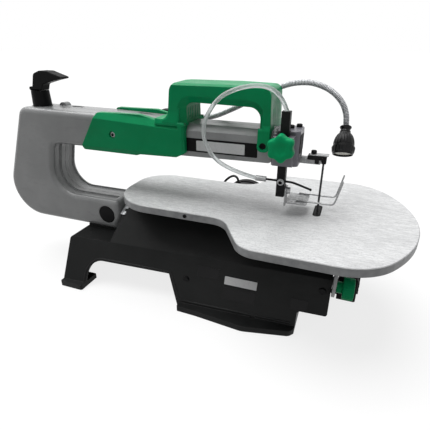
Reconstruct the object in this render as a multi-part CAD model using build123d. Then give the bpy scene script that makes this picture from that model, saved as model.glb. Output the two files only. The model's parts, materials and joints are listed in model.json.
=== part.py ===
from build123d import *
import os
from math import atan2, cos, degrees, hypot, radians, sin, tan

# Scroll saw with parallel arms inside a C-shaped frame.
# Millimetres. The origin is on the bench, at the centre of the four bench bolts.
# +X runs forward from the frame's back to the blade, +Y to the operator's right, +Z up.
# "left" is the -Y side.

os.makedirs("parts", exist_ok=True)

# ---- stations shared by many pieces ----
blade_x = 200.0              # blade line
table_top_z = 141.0          # table surface, and height of the tilt axis
running_gap = 0.05           # radial clearance of a pin in its hole
seat_gap = 0.3               # gap between faces that slide past each other

# ---- base ----
wall = 4.0                   # casting wall
base_rear_x = -160.0
base_front_x = 232.0
deck_z = 68.0                # rear deck, and the line where wall turns into roof
roof_top_z = 107.0
band_half_rear = 62.0        # half width at the deck line, rear end
band_half_front = 41.0       # the same at the front end
wall_lean = 0.5              # outward run of the side wall per unit of drop
roof_rear_x = -90.0
roof_rake = 6.0              # how far the roof's rear end leans forward
leg_width = 39.0
beam_z = 41.0                # underside between rear legs and front body
body_rear_x = 12.0           # front body's rear edge under the beam
body_rear_rake = 22.0
body_front_x = 195.0
nose_underside_z = 26.0      # underside of the overhang ahead of the front body
foot_thick = 8.0
bolt_spacing_x = 280.0
bolt_spacing_y = 152.0
bench_bolt_r = 3.5

# ---- parallel arms ----
pivot_x = -113.0             # both arm pivots
lower_pivot_z = 97.0
pin_spacing = 129.0          # blade pin to blade pin, and pivot to pivot
upper_pivot_z = lower_pivot_z + pin_spacing
tip_pin_x = blade_x - 8.0
tip_drop = 17.0              # how far the tip pins lie below the pivots
rod_x = -228.0               # tension rod
rod_rise = 8.0               # how far the rear pins lie above the pivots
arm_half = 4.0               # half thickness of both arms
arm_pin_r = 2.2
pivot_r = 6.0
half_stroke = 7.5

# ---- C-shaped frame, in two halves ----
frame_half = 28.0            # half thickness behind the covers
nose_arm_half = 24.0         # half thickness ahead of them
frame_wall = 5.0
frame_rim = 5.0              # rounding of the outer rim
throat_rim = 8.0             # rounding round the throat
frame_top_rear_z = upper_pivot_z + 27.0
frame_top_front_z = upper_pivot_z + 19.0
frame_bottom_z = 73.0
throat_top_z = upper_pivot_z - 25.0
throat_floor_z = 122.0
throat_rear_x = -214.0
arm_end_x = 140.0
limb_end_x = -91.0

# ---- drive ----
motor_x = 66.0
motor_z = 78.0
motor_r = 42.0
motor_face_y = 66.0
motor_end_y = 150.0
cam_r = 7.0
link_length = 28.0

# ---- table ----
table_thick = 10.0
table_plate = 5.0            # web behind the deeper rim
table_rim = 6.0
table_half = 127.0
tail_half = 65.0
tail_end_x = -80.0
table_front_x = 319.0
table_front_r = 170.0
table_corner_r = 66.0
slot_long = 38.0             # blade opening across the table
slot_wide = 10.0

cradle_stations = (-6.0, 140.0)   # rear faces of the two discs under the table
cradle_r = 32.0

# ---- table tilt ----
sector_x = base_front_x + 1.0
sector_thick = 3.5
sector_r = 104.0
lock_y = -40.0
lock_drop = 82.0             # lock bolt below the table surface
lock_bolt_r = 4.0
tilt_max = 45.0

# ---- hold-down post, foot and blower ----
post_x = 155.0
post_y = -29.0
post_side = 10.0
post_low_z = 171.0
post_high_z = upper_pivot_z + 44.0
foot_wire_r = 1.4
foot_wire_z = table_top_z + 15.6
foot_wire_y = 13.0
foot_sheet = 1.6
foot_pivot_z = 174.0
nozzle_z = 187.0
nozzle_r = 1.6
tube_r = 2.5

# ---- knobs ----
star_r = 16.0
star_thick = 13.0
star_z = upper_pivot_z + 6.0
lock_knob_r = 16.5
dial_r = 11.0


def outline(points):
    """Closed face from (u, v) corners; a third value rounds that corner."""
    corners = [point[:2] for point in points]
    radii = [point[2] if len(point) > 2 else 0 for point in points]
    return make_face(FilletPolyline(*corners, radius=radii, close=True))


def side_plate(points, y_low, y_high):
    """Plate with an XZ outline between two Y stations."""
    return Pos(0, y_high, 0) * extrude(Plane.XZ * outline(points), y_high - y_low)


def plan_plate(points, z_low, z_high):
    """Plate with an XY outline between two Z stations."""
    return Pos(0, 0, z_low) * extrude(outline(points), z_high - z_low)


def cross_plate(points, x_low, x_high):
    """Plate with a YZ outline between two X stations."""
    return Pos(x_low, 0, 0) * extrude(Plane.YZ * outline(points), x_high - x_low)


def block(x_low, x_high, y_low, y_high, z_low, z_high):
    middle = Pos((x_low + x_high) / 2, (y_low + y_high) / 2, (z_low + z_high) / 2)
    return middle * Box(x_high - x_low, y_high - y_low, z_high - z_low)


def rod_along_x(x_low, x_high, y, z, r):
    return Pos((x_low + x_high) / 2, y, z) * Rot(0, 90, 0) * Cylinder(r, x_high - x_low)


def rod_along_y(y_low, y_high, x, z, r):
    return Pos(x, (y_low + y_high) / 2, z) * Rot(90, 0, 0) * Cylinder(r, y_high - y_low)


def rod_along_z(z_low, z_high, x, y, r):
    return Pos(x, y, (z_low + z_high) / 2) * Cylinder(r, z_high - z_low)


def other_side(shape):
    return mirror(shape, Plane.XZ)


def save(shape, node):
    solids = shape.solids()
    export_step(solids[0] if len(solids) == 1 else Compound(children=list(solids)), f"parts/{node}.step")


# ---- base casting ----
def band_half(x):
    """Half width of the base at the deck line."""
    share = (x - base_rear_x) / (base_front_x - base_rear_x)
    return band_half_rear + share * (band_half_front - band_half_rear)


def trim_slopes(shape, inset):
    """Cut the leaning side walls and the 45 degree roof, inset inward by a wall."""
    far = 600.0
    taper = (band_half_front - band_half_rear) / (base_front_x - base_rear_x)
    for side in (-1, 1):
        along = Vector(1, side * taper, 0)
        start = Vector(base_rear_x, side * band_half_rear, deck_z)
        for fall in (Vector(0, side * wall_lean, -1), Vector(0, -side, 1)):
            normal = along.cross(fall).normalized()
            if normal.Y * side < 0:
                normal = -normal
            cutter = Plane(origin=start - normal * inset, z_dir=normal)
            shape -= cutter * Box(2 * far, 2 * far, far, align=(Align.CENTER, Align.CENTER, Align.MIN))
    return shape


def make_base():
    leg_front_x = base_rear_x + leg_width
    profile = [
        (base_rear_x, 0), (base_rear_x, deck_z, 4), (roof_rear_x, deck_z),
        (roof_rear_x + roof_rake, roof_top_z), (base_front_x, roof_top_z),
        (base_front_x, nose_underside_z, 3), (body_front_x, nose_underside_z, 4), (body_front_x, 0),
        (body_rear_x + body_rear_rake, 0), (body_rear_x, beam_z), (leg_front_x, beam_z, 24),
        (leg_front_x, 0),
    ]
    hollow = [
        (base_rear_x + wall, -1), (base_rear_x + wall, deck_z - wall),
        (roof_rear_x + wall, deck_z - wall), (roof_rear_x + roof_rake + wall, roof_top_z - wall),
        (base_front_x - wall, roof_top_z - wall), (base_front_x - wall, nose_underside_z + wall),
        (body_front_x - wall, nose_underside_z + wall), (body_front_x - wall, -1),
    ]
    shell = trim_slopes(side_plate(profile, -120, 120), 0)
    shell -= trim_slopes(side_plate(hollow, -120, 120), wall)
    # saddle under the frame's lower limb
    saddle_top = frame_bottom_z
    saddle = block(base_rear_x + 6, roof_rear_x + 2, -frame_half + 4, frame_half - 4, deck_z - wall, saddle_top)
    # turret that carries the motor
    turret_half = motor_r + 2
    turret_top = motor_z + motor_r - 2
    turret = block(motor_x - turret_half, motor_x + turret_half, 20, motor_face_y, beam_z, turret_top)
    turret -= block(motor_x - turret_half + wall, motor_x + turret_half - wall, 0, motor_face_y - wall,
                    beam_z - 1, turret_top - wall)
    inner_room = trim_slopes(side_plate(hollow, -120, 120), wall)
    shell += turret - inner_room
    shell += saddle
    shell -= block(motor_x - turret_half + wall, motor_x + turret_half - wall, 14, motor_face_y - wall,
                   beam_z + wall, roof_top_z - wall - 6)
    shell -= rod_along_y(motor_face_y - 2 * wall, motor_face_y + 1, motor_x, motor_z, 12)
    # opening in the roof for the blade's lower holder, and one where the lower arm comes in
    shell -= block(blade_x - 26, blade_x + 20, -16, 16, nose_underside_z + 30, roof_top_z + 1)
    shell -= block(roof_rear_x - 1, roof_rear_x + 2 * wall + roof_rake, -12, 12, deck_z + 1, roof_top_z - 2)
    # feet and bench lugs
    hole_x = bolt_spacing_x / 2
    hole_y = bolt_spacing_y / 2
    for side in (-1, 1):
        rear_foot = [
            (base_rear_x, side * 64), (base_rear_x, side * 100, 3),
            (leg_front_x, side * 100, 3), (leg_front_x, side * 64),
        ]
        front_foot = [
            (body_rear_x + body_rear_rake, side * 78), (body_rear_x + body_rear_rake, side * 91, 2),
            (64, side * 92, 20), (130, side * 98, 30), (158, side * 92, 20), (190, side * 85, 10),
            (body_front_x, side * 78), (body_front_x, side * 70), (hole_x + 16, side * 70),
            (hole_x + 16, side * 64, 4), (hole_x - 16, side * 64, 4), (hole_x - 16, side * 78),
        ]
        shell += plan_plate(rear_foot, 0, foot_thick)
        shell += plan_plate(front_foot, 0, foot_thick)
        for x in (-hole_x, hole_x):
            shell -= rod_along_z(-1, foot_thick + 1, x, side * hole_y, bench_bolt_r)
    # saddles in which the table's cradle discs roll
    for x in cradle_stations:
        shell += block(x, x + 8, -11, 11, 100, 111)
        shell -= rod_along_x(x - 1, x + 9, 0, table_top_z, cradle_r + 0.3)
    # lock bolt hole in the front wall
    shell -= rod_along_x(base_front_x - wall - 1, base_front_x + 1, lock_y, table_top_z - lock_drop, lock_bolt_r)
    return shell


def make_side_screws():
    """Pan head screws set into the left wall."""
    screws = []
    for x, z in ((39, 38.5), (222, 54)):
        face_y = -(band_half(x) + wall_lean * (deck_z - z))
        screws.append(rod_along_y(face_y - 1.8, face_y + 1.5, x, z, 4))
    return screws


side_screws = make_side_screws()
base = make_base()
for screw in side_screws:
    base -= screw
save(base, "base_casting")
save(Compound(children=side_screws), "base_side_screws")


# ---- C-shaped frame ----
def frame_profile():
    """Outer outline of the C with its throat, seen from the side."""
    return [
        (-250, frame_top_rear_z, 16), (-110, frame_top_rear_z - 2), (30, frame_top_front_z + 1),
        (arm_end_x, frame_top_front_z), (arm_end_x, throat_top_z + 4), (20, throat_top_z + 2),
        (throat_rear_x + 18, throat_top_z, 12), (throat_rear_x, throat_floor_z, 34),
        (limb_end_x, throat_floor_z, 6), (limb_end_x, 92, 8), (limb_end_x - 7, frame_bottom_z, 6),
        (-328, frame_bottom_z, 52),
    ]


def in_throat(edge):
    spot = edge.center()
    inside = throat_rear_x - 2 < spot.X < arm_end_x - 1 and throat_floor_z - 9 < spot.Z < throat_top_z + 13
    return inside and not (spot.X > limb_end_x - 12 and spot.Z < throat_floor_z + 9)


def frame_body():
    """Left half of the frame before it is hollowed, from y = -frame_half to 0."""
    body = side_plate(frame_profile(), -frame_half, 0)
    rim = body.faces().sort_by(Axis.Y)[0].edges()
    body = fillet([edge for edge in rim if in_throat(edge)], throat_rim)
    rim = body.faces().sort_by(Axis.Y)[0].edges()
    body = fillet([edge for edge in rim if not in_throat(edge)], frame_rim)
    step = block(0, arm_end_x + 1, -frame_half - 1, -nose_arm_half, frame_bottom_z, frame_top_rear_z + 5)
    body -= step
    shoulder = [
        (-nose_arm_half - 1, frame_top_front_z - 8), (-nose_arm_half + 9, frame_top_front_z + 2.5),
        (-nose_arm_half - 1, frame_top_front_z + 2.5),
    ]
    body -= cross_plate(shoulder, 0, arm_end_x + 1)
    return body


def make_frame_half(body):
    """The left half, hollow and open along the joint, with its pivot bosses."""
    inside = offset(outline(frame_profile()), amount=-frame_wall, kind=Kind.INTERSECTION)
    hollow = extrude(Plane.XZ * inside, nose_arm_half - frame_wall)
    half = body - hollow
    for z in (upper_pivot_z, lower_pivot_z):
        half += rod_along_y(-frame_half + 1, -pivot_boss_y, pivot_x, z, pivot_r + 6)
        half -= rod_along_y(-frame_half + 2, 1, pivot_x, z, pivot_r)
    half -= rod_along_y(-frame_half - 1, -frame_half + cap_deep, pivot_x, lower_pivot_z, cap_r)
    # room for the lever's sleeve, and openings at the ends of both limbs
    half -= rod_along_z(frame_top_rear_z - 12, frame_top_rear_z + 5, rod_x, 0, sleeve_r + 1.2)
    half -= block(arm_end_x - frame_wall - 1, arm_end_x + 1, -arm_slot_half, 1,
                  throat_top_z + 4 + frame_wall, frame_top_front_z - frame_wall)
    half -= block(limb_end_x - 9, limb_end_x + 1, -arm_slot_half, 1, lower_pivot_z - 14, lower_pivot_z + 14)
    # channel along the throat's inner surface, and the joint's seam line
    band = outline(frame_profile()) - offset(outline(frame_profile()), amount=-channel_deep, kind=Kind.INTERSECTION)
    channel = Pos(0, -frame_half + channel_edge, 0) * extrude(Plane.XZ * band, -channel_wide)
    half -= channel & block(-232, limb_end_x - 8, -frame_half, 0, throat_floor_z - 8, throat_top_z + 8)
    half -= seam_cut(frame_profile())
    return half


def seam_cut(profile):
    """Fine groove round the outline on the joint face, on the left side."""
    face = outline(profile)
    line = face - offset(face, amount=-seam_deep, kind=Kind.INTERSECTION)
    return extrude(Plane.XZ * line, seam_deep)


pivot_boss_y = arm_half + 6 + seat_gap
cap_r = 14.4
cap_deep = 3.0
sleeve_r = 14.0              # foot of the sleeve under the lever
sleeve_top_r = 13.0
arm_slot_half = 8.0
channel_edge = 7.0           # flange left beside the throat's channel
channel_wide = 13.0
channel_deep = 2.5
seam_deep = 0.4

frame_left_body = frame_body()
frame_left = make_frame_half(frame_left_body)
save(frame_left, "frame_half_left")
frame_right = other_side(frame_left)
frame_right -= Pos(-171, 12, frame_top_rear_z - 8) * extrude(SlotOverall(22, 7), 12)
frame_right -= Pos(-52, 12, frame_top_rear_z - 12) * extrude(SlotOverall(24, 7), 12)
boss = rod_along_y(12, frame_half - frame_rim, -200, frame_top_rear_z - 3, 7)
frame_right += boss & block(-220, -180, 0, frame_half, frame_top_rear_z - 4, frame_top_rear_z + 5)
save(frame_right, "frame_half_right")


# ---- pivots of the arms ----
def make_pivot(z):
    reach = frame_half - cap_deep - 0.2
    return rod_along_y(-reach, reach, pivot_x, z, pivot_r - running_gap)


save(make_pivot(upper_pivot_z), "upper_pivot_shaft")
save(make_pivot(lower_pivot_z), "lower_pivot_shaft")

cap = rod_along_y(-frame_half - 0.6, -frame_half + cap_deep - 1.0, pivot_x, lower_pivot_z, cap_r - 0.3)
cap = chamfer(cap.faces().sort_by(Axis.Y)[0].edges(), 0.6)
cap += rod_along_y(-frame_half + cap_deep - 1.0, -frame_half + cap_deep, pivot_x, lower_pivot_z, cap_r - 2)
save(Compound(children=[cap, other_side(cap)]), "pivot_caps")

# clamps that tie the lower limb to the base
clamp_profile = [
    (limb_end_x, roof_top_z), (limb_end_x + 9.5, roof_top_z), (limb_end_x + 9.5, roof_top_z + 5, 2),
    (limb_end_x + 5, roof_top_z + 11, 2), (limb_end_x, roof_top_z + 11),
]
clamp = side_plate(clamp_profile, -18, -9)
save(Compound(children=[clamp, other_side(clamp)]), "limb_clamps")


# ---- moving arms ----
upper_tip_z = upper_pivot_z - tip_drop
lower_tip_z = lower_pivot_z - tip_drop
link_pin_z = motor_z - link_length


def make_arm(pivot_z, front_low, front_high, tip_above, tip_below):
    """Bar with a pivot eye, a rear eye for the tension rod and a slim tip."""
    rear_z = pivot_z + rod_rise
    tip_z = pivot_z - tip_drop
    bar = [
        (rod_x - 3, rear_z - 7, 5), (rod_x - 8, rear_z, 5), (rod_x - 3, rear_z + 7, 5),
        (pivot_x, pivot_z + 6.5, 30), (60, front_high + 4, 30), (143, front_high, 8),
        (167, tip_z + tip_above, 6), (tip_pin_x + 5, tip_z + tip_above, 2), (tip_pin_x + 5, tip_z - tip_below, 2),
        (160, tip_z - tip_below, 6), (143, front_low, 8), (60, front_low - 1, 30), (pivot_x, pivot_z - 6.5, 30),
    ]
    arm = side_plate(bar, -arm_half, arm_half)
    arm += rod_along_y(-arm_half - 6, arm_half + 6, pivot_x, pivot_z, pivot_r + 5)
    arm -= rod_along_y(-arm_half - 7, arm_half + 7, pivot_x, pivot_z, pivot_r)
    arm -= rod_along_y(-arm_half - 1, arm_half + 1, rod_x, rear_z, arm_pin_r)
    arm -= rod_along_y(-arm_half - 1, arm_half + 1, tip_pin_x, tip_z, arm_pin_r)
    return arm


tip_clamped = 3.0            # tip above or below its pin, on the holder roof's side
tip_free = 4.5
upper_arm = make_arm(upper_pivot_z, upper_tip_z + 8, upper_tip_z + 17, tip_clamped, tip_free)
save(upper_arm, "upper_arm")

lower_arm = make_arm(lower_pivot_z, lower_tip_z, lower_tip_z + 9, tip_free, tip_clamped)
ear_profile = [
    (motor_x - 12, 84), (motor_x - 7, link_pin_z - 3, 4), (motor_x, link_pin_z - 7, 4),
    (motor_x + 7, link_pin_z - 3, 4), (motor_x + 12, 84),
]
lower_arm += side_plate(ear_profile, -arm_half, arm_half)
lower_arm -= rod_along_y(-arm_half - 1, arm_half + 1, motor_x, link_pin_z, arm_pin_r)
save(lower_arm, "lower_arm")


# ---- tension rod, sleeve and lever at the back ----
def fork(pin_x, pin_z, low_z, high_z, width):
    """Two cheeks astride an arm, with the pin through them."""
    cheeks = block(pin_x - width / 2, pin_x + width / 2, -arm_half - 3.4, -arm_half - 0.4, low_z, high_z)
    return cheeks + other_side(cheeks)


def pin_across(pin_x, pin_z, reach):
    return rod_along_y(-reach, reach, pin_x, pin_z, arm_pin_r - running_gap)


upper_rear_z = upper_pivot_z + rod_rise
lower_rear_z = lower_pivot_z + rod_rise
cheek_out = arm_half + 3.4
rod = fork(rod_x, upper_rear_z, upper_rear_z - 18, upper_rear_z + 12, 11)
rod += block(rod_x - 5.5, rod_x + 5.5, -cheek_out, cheek_out, upper_rear_z - 23, upper_rear_z - 16)
rod += block(rod_x - 5.5, rod_x + 5.5, -cheek_out, cheek_out, upper_rear_z + 11, upper_rear_z + 15)
rod += rod_along_z(lower_rear_z + 18, upper_rear_z - 20, rod_x, 0, 3.5)
rod += block(rod_x - 5.5, rod_x + 5.5, -cheek_out, cheek_out, lower_rear_z + 12, lower_rear_z + 19)
rod += fork(rod_x, lower_rear_z, lower_rear_z - 7, lower_rear_z + 14, 11)
for z in (upper_rear_z, lower_rear_z):
    rod += pin_across(rod_x, z, cheek_out)
rod_top_z = upper_rear_z + 28.0
rod += rod_along_z(upper_rear_z + 14, rod_top_z, rod_x, 0, 4.0)
save(rod, "tension_rod")

sleeve_low_z = upper_rear_z + 15 + seat_gap
sleeve_top_z = upper_rear_z + 41.0
sleeve_long = sleeve_top_z - sleeve_low_z
sleeve = Pos(rod_x, 0, (sleeve_low_z + sleeve_top_z) / 2) * Cone(sleeve_r, sleeve_top_r, sleeve_long)
sleeve -= rod_along_z(sleeve_low_z - 1, rod_top_z + 1, rod_x, 0, 4.0 + running_gap)
# knuckle on top of the sleeve, with the lever's pin
hinge_x = rod_x - 9.5
hinge_z = sleeve_top_z + 3.0
hinge_r = 1.6
lug_r = 2.7
lever_half = 8.0
knuckle_half = 4.0
sleeve += rod_along_y(-knuckle_half, knuckle_half, hinge_x, hinge_z, 2.4)
sleeve += block(hinge_x - 2.4, hinge_x + 2.4, -knuckle_half, knuckle_half, sleeve_top_z - 0.5, hinge_z)
sleeve += rod_along_y(-lever_half + 0.2, lever_half - 0.2, hinge_x, hinge_z, hinge_r - running_gap)
save(sleeve, "tension_sleeve")

lever_foot_z = sleeve_top_z + 1.0
lever_profile = [
    (hinge_x + 1, lever_foot_z, 0.8), (rod_x - 6.5, lever_foot_z + 4), (rod_x - 0.5, lever_foot_z + 23, 7),
    (rod_x + 12, lever_foot_z + 27.4, 10), (rod_x + 26, lever_foot_z + 27.2, 12), (rod_x + 53, lever_foot_z + 19, 1.2),
    (rod_x + 51.5, lever_foot_z + 17, 0.8), (rod_x + 37, lever_foot_z + 14.2, 6), (rod_x + 14.5, lever_foot_z + 8.5, 6),
    (rod_x + 11.5, lever_foot_z, 1),
]
lever = side_plate(lever_profile, -lever_half, lever_half)
lever = chamfer(lever.faces().sort_by(Axis.Y)[0].edges() + lever.faces().sort_by(Axis.Y)[-1].edges(), 0.8)
lever += rod_along_y(-lever_half, lever_half, hinge_x, hinge_z, lug_r)
lever -= block(rod_x + 1.5, rod_x + 9, -lever_half + 2.2, lever_half - 2.2, sleeve_top_z, lever_foot_z + 17)
lever -= rod_along_y(-knuckle_half - 0.4, knuckle_half + 0.4, hinge_x, hinge_z, 4.2)
lever -= rod_along_y(-lever_half - 1, lever_half + 1, hinge_x, hinge_z, hinge_r)
save(lever, "tension_lever")


# ---- blade and its holders ----
def make_holder(pin_z, blade_side):
    """Fork on the arm's tip; blade_side is -1 where the blade leaves downward."""
    low, high = sorted((pin_z + 3.5 * blade_side, pin_z - roof_far * blade_side))
    holder = fork(tip_pin_x, pin_z, low, high, 20)
    roof_low, roof_high = sorted((pin_z - roof_near * blade_side, pin_z - roof_far * blade_side))
    holder += block(tip_pin_x - 10, tip_pin_x + 10, -cheek_out, cheek_out, roof_low, roof_high)
    jaw_low, jaw_high = sorted((pin_z + 9 * blade_side, pin_z - roof_far * blade_side))
    holder += block(tip_pin_x + 6.5, tip_pin_x + 11, -4.5, 4.5, jaw_low, jaw_high)
    holder += pin_across(tip_pin_x, pin_z, cheek_out)
    # slit that takes the blade
    slit_low, slit_high = sorted((pin_z + blade_side * 10, pin_z))
    holder -= block(blade_x - blade_deep / 2, blade_x + blade_deep / 2, -blade_thick / 2, blade_thick / 2,
                    slit_low, slit_high)
    return holder


roof_near = tip_clamped + 1.0      # holder roof, measured from the pin
roof_far = roof_near + 2.5
blade_deep = 2.8
blade_thick = 0.6
upper_holder = make_holder(upper_tip_z, -1)
upper_holder -= rod_along_z(upper_tip_z + roof_near - 1, upper_tip_z + roof_far + 1, tip_pin_x - 5, 0, 1.5)
lower_holder = make_holder(lower_tip_z, 1)
save(upper_holder, "upper_blade_holder")
save(lower_holder, "lower_blade_holder")

blade = block(blade_x - blade_deep / 2, blade_x + blade_deep / 2, -blade_thick / 2, blade_thick / 2,
              lower_tip_z, upper_tip_z)
save(blade, "blade")

screw_x = tip_pin_x - 5
screw_low = upper_tip_z + roof_far
thumb = rod_along_z(screw_low - 2.3, screw_low + 3, screw_x, 0, 1.5 - running_gap)
thumb += rod_along_z(screw_low + seat_gap, screw_low + 3, screw_x, 0, 3.2)
thumb += rod_along_z(screw_low + 3, screw_low + 5.5, screw_x, 0, 4.2)
save(thumb, "thumb_screw")
plate = block(tip_pin_x + 1, tip_pin_x + 13, -6, 6, screw_low, screw_low + 1.2)
save(plate, "holder_plate")


# ---- drive ----
motor_body = rod_along_y(motor_face_y, motor_face_y + 6, motor_x, motor_z, motor_r)
motor_body += rod_along_y(motor_face_y + 6, motor_end_y - 14, motor_x, motor_z, motor_r - 1.5)
motor_body -= rod_along_y(motor_face_y - 1, motor_face_y + 14, motor_x, motor_z, 4.0 + running_gap)
save(motor_body, "motor_body")

end_cap = rod_along_y(motor_end_y - 14, motor_end_y, motor_x, motor_z, motor_r)
end_cap = chamfer(end_cap.edges().filter_by(GeomType.CIRCLE).sort_by(Axis.Y)[-1:], 3)
for i in range(8):
    angle = radians(i * 45)
    end_cap -= rod_along_y(motor_end_y - 3, motor_end_y + 1, motor_x + 20 * cos(angle), motor_z + 20 * sin(angle), 4)
save(end_cap, "motor_cap")

screws = []
for i in range(4):
    angle = radians(45 + i * 90)
    screws.append(rod_along_y(motor_end_y, motor_end_y + 2.5, motor_x + 33 * cos(angle),
                              motor_z + 33 * sin(angle), 3.2))
save(Compound(children=screws), "motor_cap_screws")

cam_y_low = arm_half + 1.0
cam_y_high = cam_y_low + 5.0
cam_throw = half_stroke * (motor_x - pivot_x) / (tip_pin_x - pivot_x)
crank = rod_along_y(cam_y_high, motor_face_y + 13, motor_x, motor_z, 4.0)
crank += rod_along_y(cam_y_high, cam_y_high + 3, motor_x, motor_z, 9.0)
crank += rod_along_y(cam_y_low, cam_y_high, motor_x + cam_throw, motor_z, cam_r)
save(crank, "crank")

ring_inner_r = cam_r + 2 * cam_throw + 0.7
ring_outer_r = ring_inner_r + 2.8
conrod = rod_along_y(cam_y_low, cam_y_high, motor_x, motor_z, ring_outer_r)
conrod += block(motor_x - 4, motor_x + 4, cam_y_low, cam_y_high, link_pin_z, motor_z - ring_inner_r)
conrod += rod_along_y(cam_y_low, cam_y_high, motor_x, link_pin_z, 6)
conrod -= rod_along_y(cam_y_low - 1, cam_y_high + 1, motor_x, motor_z, ring_inner_r)
conrod += rod_along_y(-arm_half - 1, cam_y_low + 1, motor_x, link_pin_z, arm_pin_r - running_gap)
save(conrod, "connecting_rod")

lead_route = [
    (52, 130, 119.5), (51.6, 131, 122), (47, 136, 125.5), (39, 140, 126), (28, 138, 119), (20, 129, 106),
    (15, 105, 98), (11, 78, 94), (10, 62, 91), (13, 53.5, 90), (17.5, 52, 90),
]


def bend_radii(route):
    """The largest arc that each corner of a route can take."""
    points = [Vector(*point) for point in route]
    radii = []
    for before, corner, after in zip(points, points[1:], points[2:]):
        arriving = corner - before
        leaving = after - corner
        turn = radians(arriving.get_angle(leaving))
        radii.append(0.46 * min(arriving.length, leaving.length) / tan(turn / 2))
    return radii


def along(route, r):
    """Round section carried along straight runs joined by arcs."""
    path = FilletPolyline(*route, radius=bend_radii(route))
    section = Plane(origin=path @ 0, z_dir=path % 0) * Circle(r)
    return sweep(section, path=path)


lead = along(lead_route, 2.0)
gland = rod_along_z(motor_z + 34, 119.5, 52, 130, 4.5)
gland -= rod_along_y(120, 140, motor_x, motor_z, motor_r - 1.5)
save(lead, "motor_lead")
save(gland - lead, "lead_gland_motor")
save(rod_along_x(17.5, motor_x - motor_r - 2, 52, 90, 5) - lead, "lead_gland_base")


# ---- table ----
def table_outline(inset=0.0):
    """Plan of the table: broad round front, S-curved flanks, narrow tail."""
    half = table_half - inset
    tail = tail_half - inset
    rear = tail_end_x + inset
    waist_x = 93.7 + inset
    shoulder_x = 131.7 + inset
    front_r = table_front_r - inset
    front_centre = table_front_x - table_front_r
    plan = outline([
        (rear, -tail, 60), (waist_x, -tail, 30), (shoulder_x, -half, 30), (table_front_x + 20, -half),
        (table_front_x + 20, half), (shoulder_x, half, 30), (waist_x, tail, 30), (rear, tail, 44),
    ])
    nose = Pos(front_centre, 0) * Circle(front_r)
    room = front_centre - rear + 20
    keep = nose + Pos(front_centre - room / 2, 0) * Rectangle(room, 3 * half)
    plan = plan & keep
    corners = [v for v in plan.vertices() if v.X > shoulder_x + 40]
    return fillet(corners, table_corner_r - inset)


def make_table():
    low = table_top_z - table_thick
    top = Pos(0, 0, low) * extrude(table_outline(), table_thick)
    rim = top.faces().sort_by(Axis.Z)[-1].outer_wire().edges()
    top = chamfer(rim, 0.8)
    top -= Pos(0, 0, low - 1) * extrude(table_outline(table_rim), table_thick - table_plate + 1)
    # ribs under the plate
    for x in (-30, 60):
        top += block(x, x + 4, -tail_half + 4, tail_half - 4, table_top_z - table_plate - 3, table_top_z - table_plate)
    top += block(150, 154, -table_half + 4, table_half - 4, table_top_z - table_plate - 3, table_top_z - table_plate)
    opening = Pos(blade_x, 2.6, table_top_z - 3) * extrude(SlotOverall(slot_long, slot_wide, rotation=90), 5)
    ledge = Pos(blade_x, 0.6, low - 1) * extrude(SlotOverall(slot_long - 8, slot_wide - 3, rotation=90), 12)
    top -= opening
    top -= ledge
    # rear cradle discs that roll in the base's saddles
    for x in cradle_stations:
        disc = rod_along_x(x, x + 8, 0, table_top_z, cradle_r)
        disc -= block(x - 1, x + 9, -60, 60, table_top_z - table_plate, table_top_z + 60)
        top += disc
    top -= rod_along_y(-tail_half - 1, -tail_half + 8, 40, table_top_z - 5, 1.6)
    return top


table = make_table()
save(table, "table_top")

insert = Pos(blade_x, 2.6, table_top_z - 3) * extrude(SlotOverall(slot_long, slot_wide, rotation=90), 2.8)
insert -= block(blade_x - 2, blade_x + 2.2, -9, 4, table_top_z - 4, table_top_z + 1)
save(insert, "table_insert")

edge_screw = rod_along_y(-tail_half - 1.4, -tail_half, 40, table_top_z - 5, 2.6)
edge_screw += rod_along_y(-tail_half, -tail_half + 6, 40, table_top_z - 5, 1.6)
save(edge_screw, "table_edge_screw")


def make_sector():
    """Tilt plate with the curved slot for the lock bolt, hung under the table."""
    plane_x = Plane(origin=(sector_x, 0, 0), x_dir=(0, 1, 0), z_dir=(1, 0, 0))
    top_z = table_top_z - table_plate
    disc = Pos(0, table_top_z) * Circle(sector_r)
    keep = outline([(-102, top_z), (20, top_z), (20, 118, 6), (-24, 30), (-102, 30)])
    plate = extrude(plane_x * (disc & keep), sector_thick)
    slot_r = hypot(lock_y, lock_drop)
    start = degrees(atan2(-lock_drop, lock_y)) + 2.2
    sweep_angle = -(tilt_max + 4.4)
    middle = CenterArc((0, table_top_z), slot_r, start, sweep_angle)
    slot = plane_x * SlotArc(middle, 2 * (lock_bolt_r + 0.3))
    plate -= Pos(-1, 0, 0) * extrude(slot, sector_thick + 2)
    flange = block(sector_x - 14, sector_x, -92, 18, top_z - 4, top_z)
    for y in (-70, -8):
        flange -= rod_along_z(top_z - 5, top_z + 1, sector_x - 8, y, 2)
    return plate + flange


sector = make_sector()
save(sector, "tilt_sector")
sector_screws = [
    rod_along_z(table_top_z - table_plate - 6.5, table_top_z - table_plate - 4, sector_x - 8, y, 4)
    + rod_along_z(table_top_z - table_plate - 4, table_top_z - table_plate, sector_x - 8, y, 2)
    for y in (-70, -8)
]
save(Compound(children=sector_screws), "sector_screws")

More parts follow.
